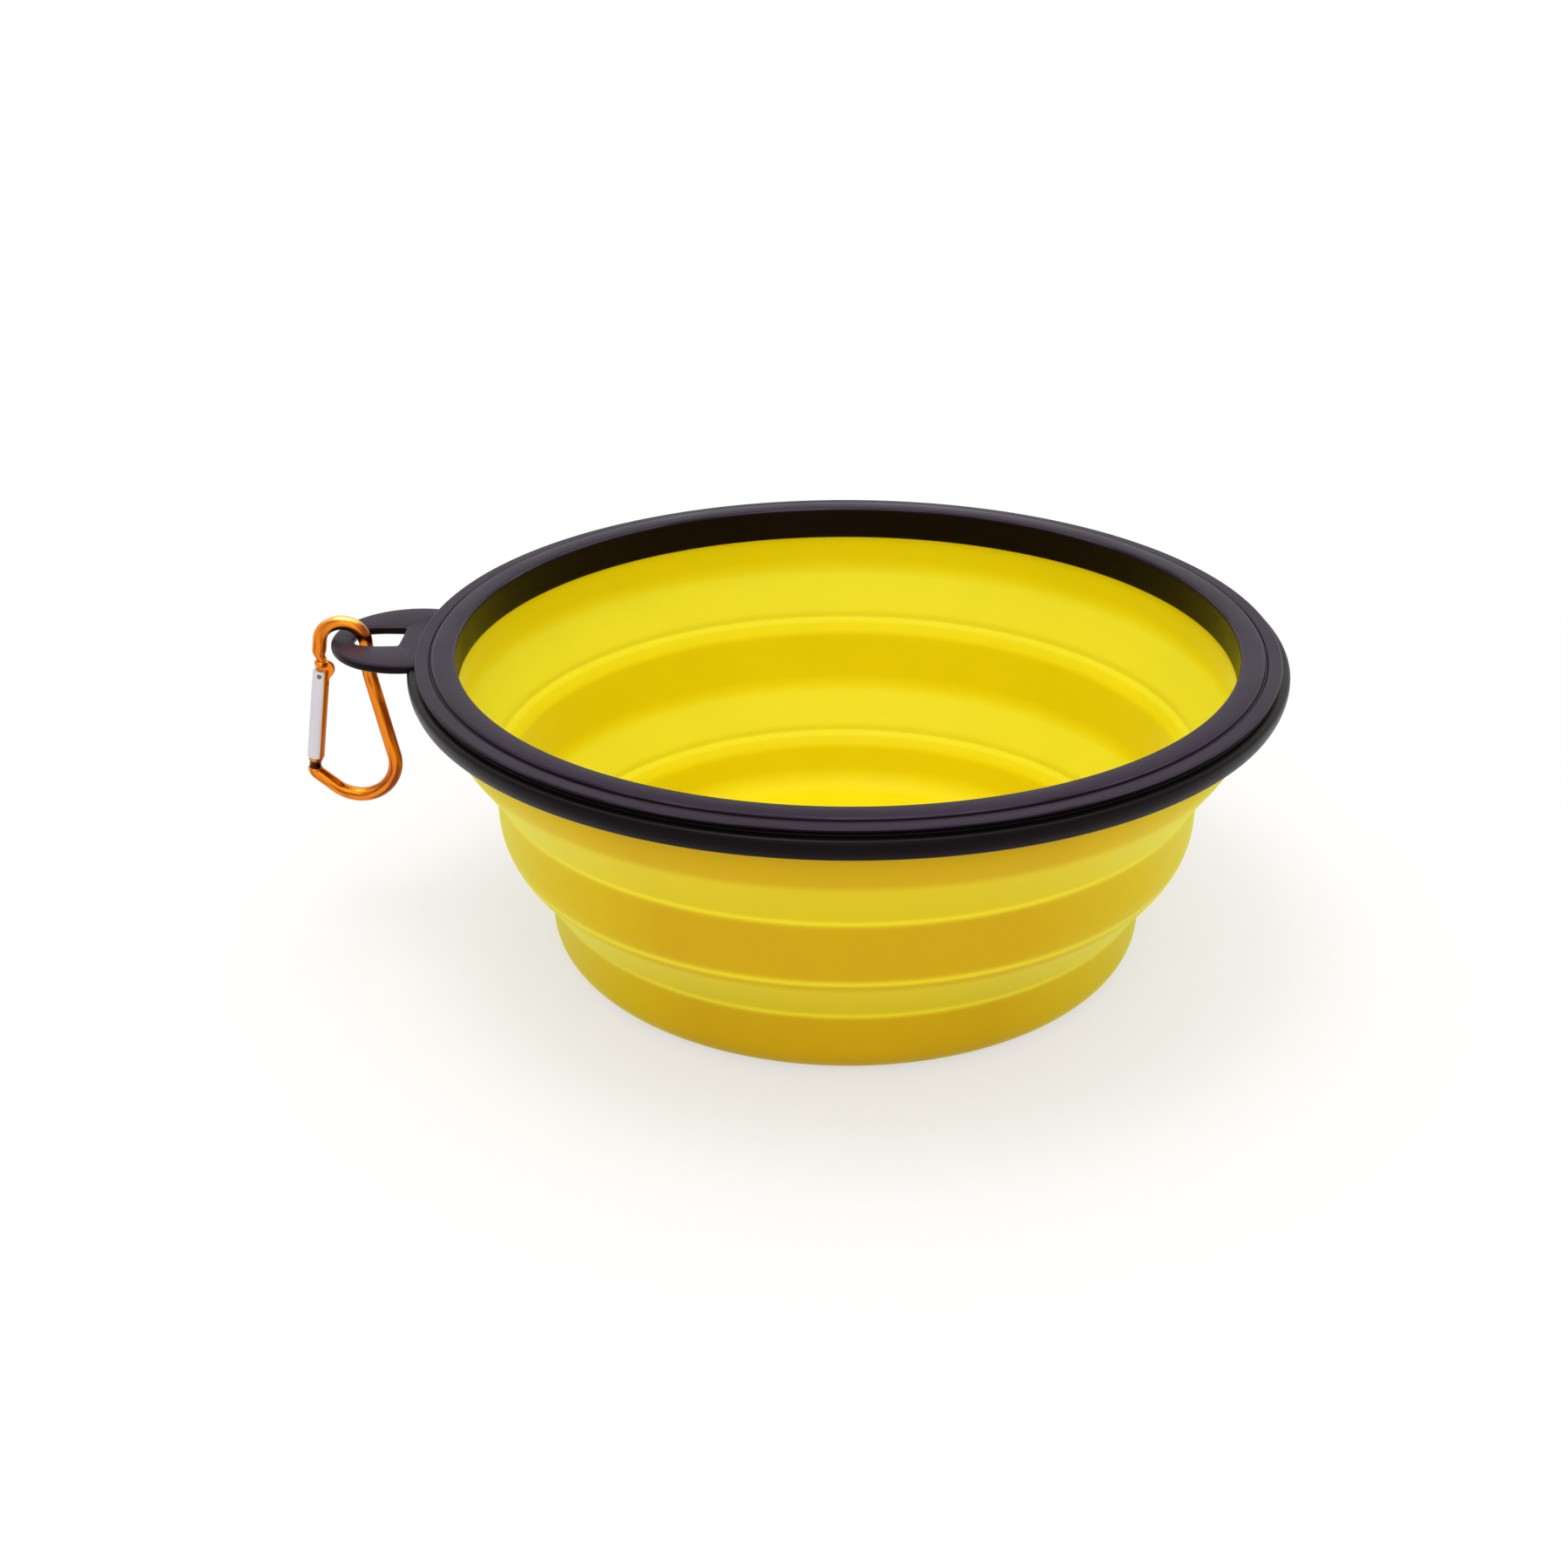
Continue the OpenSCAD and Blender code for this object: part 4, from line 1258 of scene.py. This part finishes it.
class CarabinerShape:
    """The rod's path in the upright plane, counted from the hook's centre, and the places along the gate."""

    def __init__(self, c):
        self.c = c
        self.origin = np.array(joint("carabiner_swing")["pos_m"])
        self.down = np.array([-math.sin(c.lean), -math.cos(c.lean)])
        self.across = np.array([math.cos(c.lean), -math.sin(c.lean)])
        self.strand = c.hook * np.array([-math.cos(c.lean), math.sin(c.lean)])
        self.gate_top = c.shoulder + c.shoulder_gap
        self.rivet = self.gate_top + c.rivet_inset
        self.head = self.gate_top + c.gate + c.latch_gap
        self.notch = self.head + c.latch_head
        self.nose = self.notch + c.notch

    def on_gate(self, s):
        """The point at the distance s along the gate's line."""
        return self.strand + s * self.down

    def path(self, step=0.25 * MM):
        """Stop, free leg, hook, neck, knee, spine, wide bend and nose.

        The spine is the straight line that touches the knee's circle on one side and the wide bend's on
        the other. The last strand leaves the wide bend along the line that touches it and meets the nose.
        """
        c = self.c
        bend = np.array([c.bend_side, -c.bend_drop])
        knee = np.array([c.hook + c.knee, -c.neck])
        gap = bend - knee
        turn = math.atan2(gap[1], gap[0]) + math.asin((c.knee + c.bend) / np.linalg.norm(gap))
        out = math.atan2(math.cos(turn), -math.sin(turn))
        nose = self.on_gate(self.nose + c.heel)
        back = bend - nose
        foot = math.atan2(back[1], back[0]) + math.pi + math.acos(c.bend / np.linalg.norm(back))
        foot_point = bend + c.bend * np.array([math.cos(foot), math.sin(foot)])
        upper = np.concatenate([
            *self.free_side(step),
            arc(knee, c.knee, math.pi, math.pi + out, step),
            arc(bend, c.bend, out, foot - 2 * math.pi, step),
        ])
        tail = rounded_line([(*foot_point, 0), (*nose, c.heel_edge), (*self.on_gate(self.nose), 0)], step)
        return resampled(np.concatenate([upper, tail[1:]]), 2 * step)

    def free_side(self, step, ease=(0.6, 2.8)):
        """The free leg up from the stop, and the hook, bulged out between the stop and the hook's top.

        The bulge grows over the taper's length on the leg, and fades over the angles of ease on the hook. The
        leg's points stop 0.3 of the taper short of the hook's, so that one runs smoothly into the other.
        """
        c = self.c
        low = self.gate_top - c.stop_gap - c.stop / 2
        s = np.arange(low, c.taper * 0.3, -step)
        leg = self.strand + s[:, None] * self.down
        leg[:, 0] -= c.bulge * smooth_share(low - s, 0, c.taper)
        hook = arc((0, 0), c.hook, math.pi - c.lean, 0, step)
        hook[:, 0] -= c.bulge * smooth_share(np.arctan2(hook[:, 1], hook[:, 0]), *ease)
        return leg, hook

    def rod(self):
        """The rod's path and its radii: a neck that widens over the taper, and a rounded far end.

        The neck keeps its radius for 0.35 of the taper. Over a quarter turn a, the far end goes in by the
        edge times 1 - sin a while its radius loses the edge times 1 - cos a.
        """
        c = self.c
        path, edge = self.path(), c.nose_edge
        a = np.linspace(0, math.pi / 2, 9)
        tail = path[-1] - unit(path[-1] - path[-2]) * (edge * (1 - np.sin(a)))[:, None]
        kept = path[np.linalg.norm(path - path[-1], axis=1) > edge]
        widened = smooth_share(run_along(kept), c.taper * 0.35, c.taper)
        radii = c.neck_radius + (c.rod / 2 - c.neck_radius) * widened
        return np.concatenate([kept, tail]), np.concatenate([radii, c.rod / 2 - edge * (1 - np.cos(a))])

    def turned(self, name, stations):
        """A bar along the gate's line from stations (distance, radius)."""
        path = [self.on_gate(s) for s, _ in stations]
        return tube(name, path, [radius for _, radius in stations], self.origin)

    def tongue(self, rays=240):
        """The flat tongue: on each ray from the rivet, the farthest reach of its eye, lug, heel and neck.

        Their places and sizes, out and up from the rivet, are shares of the lug's radius.
        """
        c = self.c
        ray = circle(rays)
        eye = np.full(rays, c.lug * 0.8)
        lug = ray_to_circle(ray, (c.lug * 0.47, c.lug * 0.68), c.lug)
        heel = ray_to_circle(ray, (c.lug * 0.45, -c.lug * 0.05), c.lug * 0.65)
        neck = ray_to_box(ray, (-c.lug * 0.4, -c.lug * 0.5), (c.lug * 0.45, self.rivet - c.shoulder))
        reach = np.maximum.reduce([eye, lug, heel, neck])
        middle = self.on_gate(self.rivet)

        def place(points):
            """The plate's points with their y along the gate and their height along Y."""
            flat = middle + points[:, :1] * self.across - points[:, 1:2] * self.down
            space = in_plane(flat, self.origin)
            space[:, 1] = points[:, 2]
            return space

        return slab("carabiner_tongue", ray * reach[:, None], c.tongue / 2, c.tongue_edge, place)

    def stop(self):
        """The round stop above the gate."""
        c = self.c
        r, e = c.rod / 2, c.stop_edge
        low = self.gate_top - c.stop_gap
        return self.turned("carabiner_stop", [
            (low - c.stop, r - e), (low - c.stop + e, r), (low - e, r), (low, r - e)
        ])

    def latch(self):
        """The latch end: a round head on a thin neck, whose neck and notch are marked for painted shade."""
        c = self.c
        r, neck, e = c.rod / 2, c.latch_neck, c.latch_edge
        stations = [
            (self.head, r - e), (self.head + e, r), (self.notch - e, r), (self.notch, r - e),
            (self.notch + c.latch_ledge, neck + e), (self.notch + e, neck), (self.nose + c.latch_root, neck),
        ]
        piece = self.turned("carabiner_latch", stations)
        # The head's underside and the neck get painted shade, as shade falls in the notch
        deep = np.array([s > self.notch - e / 2 for s, _ in stations])
        add_share(piece, "hollow", np.concatenate([np.repeat(deep, BAR_SIDES), deep[[0, -1]]]))
        return piece


class PETBOWL_OT_carabiner(bpy.types.Operator):
    """Bent rod with its hook, its tongue and the notched latch end"""

    bl_idname = "petbowl.carabiner"
    bl_label = "Carabiner"

    def execute(self, context):
        shape = CarabinerShape(context.scene.petbowl_carabiner)
        rod = tube("carabiner_rod", *shape.rod(), shape.origin)
        for piece in (rod, shape.tongue(), shape.stop(), shape.latch()):
            # Painted shade on the side that looks down and towards the bowl, and a painted highlight on the
            # hook's crest
            mark_shade_side(piece)
            mark_hook_highlight(piece, shape.origin[2])
            dress(piece, "orange_anodised")
            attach(piece, "carabiner")
        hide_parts("carabiner_body")
        return {"FINISHED"}


class PETBOWL_OT_gate(bpy.types.Operator):
    """Gate with its fork and slit, its rivet and its spring"""

    bl_idname = "petbowl.gate"
    bl_label = "Gate"

    def execute(self, context):
        c = context.scene.petbowl_carabiner
        gate = softened_copy("gate_barrel", "carabiner_gate", c.gate_edge)
        dress(gate, "bare_and_orange_gate")
        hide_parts("carabiner_gate")
        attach(gate, "gate")
        rivet = rivet_piece(c, joint("gate_open")["pos_m"])
        dress(rivet, "pin_steel")
        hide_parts("gate_rivet")
        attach(rivet, "gate")
        paint(frame["nodes"]["gate_spring"], "pin_steel")
        return {"FINISHED"}


def rivet_piece(c, at, sides=32):
    """The rivet: a pin across the gate with two low domed heads.

    The ring at a height y has the radius r cos a, where a runs over the dome from the side to the pole.
    """
    low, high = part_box("gate_rivet")
    half = (high.y - low.y) / 2
    dome = np.linspace(0, math.pi / 2, 8)[:-1]
    head = half - c.rivet_dome * (1 - np.sin(dome))
    y = np.concatenate([-head[::-1], head])[:, None]
    radii = c.rivet / 2 * np.concatenate([np.cos(dome[::-1]), np.cos(dome)])[:, None]
    around = circle(sides)
    rings = np.stack([
        at[0] + radii * around[:, 0], np.repeat(y, sides, 1), at[2] + radii * around[:, 1]
    ], -1)
    return outward(mesh_object("gate_pin", *capped(rings, [[at[0], -half, at[2]], [at[0], half, at[2]]])))


# The stage

class PETBOWL_OT_stage(bpy.types.Operator):
    """Pale floor, soft light and the camera at the photograph's angle"""

    bl_idname = "petbowl.stage"
    bl_label = "Stage"

    def execute(self, context):
        scene, settings = context.scene, context.scene.petbowl_stage
        self.camera(scene, settings)
        self.floor(settings)
        self.world(scene, settings)
        self.softbox("key_softbox", settings.key_power, size=1.5, place=(0.0, 0.15, 1.3))
        self.softbox(
            "front_fill", settings.fill_power, size=1.0, place=(0.0, -1.2, 0.8), tilt=settings.fill_tilt
        )
        self.softbox("glint", settings.glint_power, size=0.45, place=(-0.15, -0.1, 1.15))
        scene.view_settings.view_transform = "Standard"
        return {"FINISHED"}

    def camera(self, scene, settings):
        """Puts the camera in front of the bowl, panned, tilted down and rolled, in that order."""
        data = bpy.data.cameras.new("photo_camera")
        data.sensor_width = 36.0
        data.lens = settings.lens
        data.clip_start = 10 * MM
        camera = bpy.data.objects.new("photo_camera", data)
        scene.collection.objects.link(camera)
        place = Matrix.Translation((0.0, -settings.camera_back, settings.camera_up))
        turn = Matrix.Rotation(settings.camera_pan, 4, "Z")
        tilt = Matrix.Rotation(math.pi / 2 - settings.camera_tilt, 4, "X")
        roll = Matrix.Rotation(settings.camera_roll, 4, "Z")
        camera.matrix_world = place @ turn @ tilt @ roll
        scene.camera = camera

    def floor(self, settings):
        """A wide pale floor at the bowl's resting height."""
        half = settings.floor_half
        corners = [(-half, -half, 0), (half, -half, 0), (half, half, 0), (-half, half, 0)]
        floor = mesh_object("floor", corners, [(0, 1, 2, 3)])
        floor.data.materials.append(floor_material("pale_floor", settings))

    def world(self, scene, settings):
        """Even pale light, and plain white for what the camera and reflections see."""
        world = bpy.data.worlds.new("white_room")
        scene.world = world
        g = Graph(world)
        g.nodes.clear()
        even = g.add("Background", {"Color": WHITE, "Strength": settings.sky})
        white = g.add("Background", {"Color": WHITE, "Strength": 1.0})
        mix = g.add("MixShader", {0: g.seen("Camera", "Glossy", "Transmission"), 1: even, 2: white})
        g.put(g.nodes.new("ShaderNodeOutputWorld").inputs["Surface"], mix)

    def softbox(self, name, power, size, place, tilt=0.0):
        """A square area lamp, pointing down before it is tilted."""
        data = bpy.data.lights.new(name, "AREA")
        data.energy = power
        data.size = size
        lamp = bpy.data.objects.new(name, data)
        lamp.location = place
        lamp.rotation_euler = (tilt, 0.0, 0.0)
        bpy.context.scene.collection.objects.link(lamp)


OPERATORS = (
    PETBOWL_OT_stage,
    PETBOWL_OT_top_band,
    PETBOWL_OT_upper_fold,
    PETBOWL_OT_middle_band,
    PETBOWL_OT_lower_fold,
    PETBOWL_OT_base,
    PETBOWL_OT_inner_ring,
    PETBOWL_OT_outer_ring,
    PETBOWL_OT_carabiner,
    PETBOWL_OT_gate,
)


class PETBOWL_PT_panel(bpy.types.Panel):
    """The list of pieces in the 3D view's sidebar"""

    bl_idname = "PETBOWL_PT_panel"
    bl_label = "Pet Bowl"
    bl_space_type = "VIEW_3D"
    bl_region_type = "UI"
    bl_category = "Pet Bowl"

    def draw(self, context):
        for operator in OPERATORS:
            self.layout.operator(operator.bl_idname)
        for key, group in GROUPS.items():
            box = self.layout.box()
            for name in group.__annotations__:
                box.prop(getattr(context.scene, key), name)


CLASSES = (*GROUPS.values(), *OPERATORS, PETBOWL_PT_panel)


def register():
    """Registers the classes and hangs the property groups on the scene."""
    for cls in CLASSES:
        bpy.utils.register_class(cls)
    for key, group in GROUPS.items():
        setattr(bpy.types.Scene, key, bpy.props.PointerProperty(type=group))


def unregister():
    """Takes the property groups off the scene and unregisters the classes."""
    for key in GROUPS:
        delattr(bpy.types.Scene, key)
    for cls in reversed(CLASSES):
        bpy.utils.unregister_class(cls)


def main():
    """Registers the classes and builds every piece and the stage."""
    register()
    for operator in OPERATORS:
        getattr(bpy.ops.petbowl, operator.bl_idname.split(".")[1])()


if __name__ == "__main__":
    main()
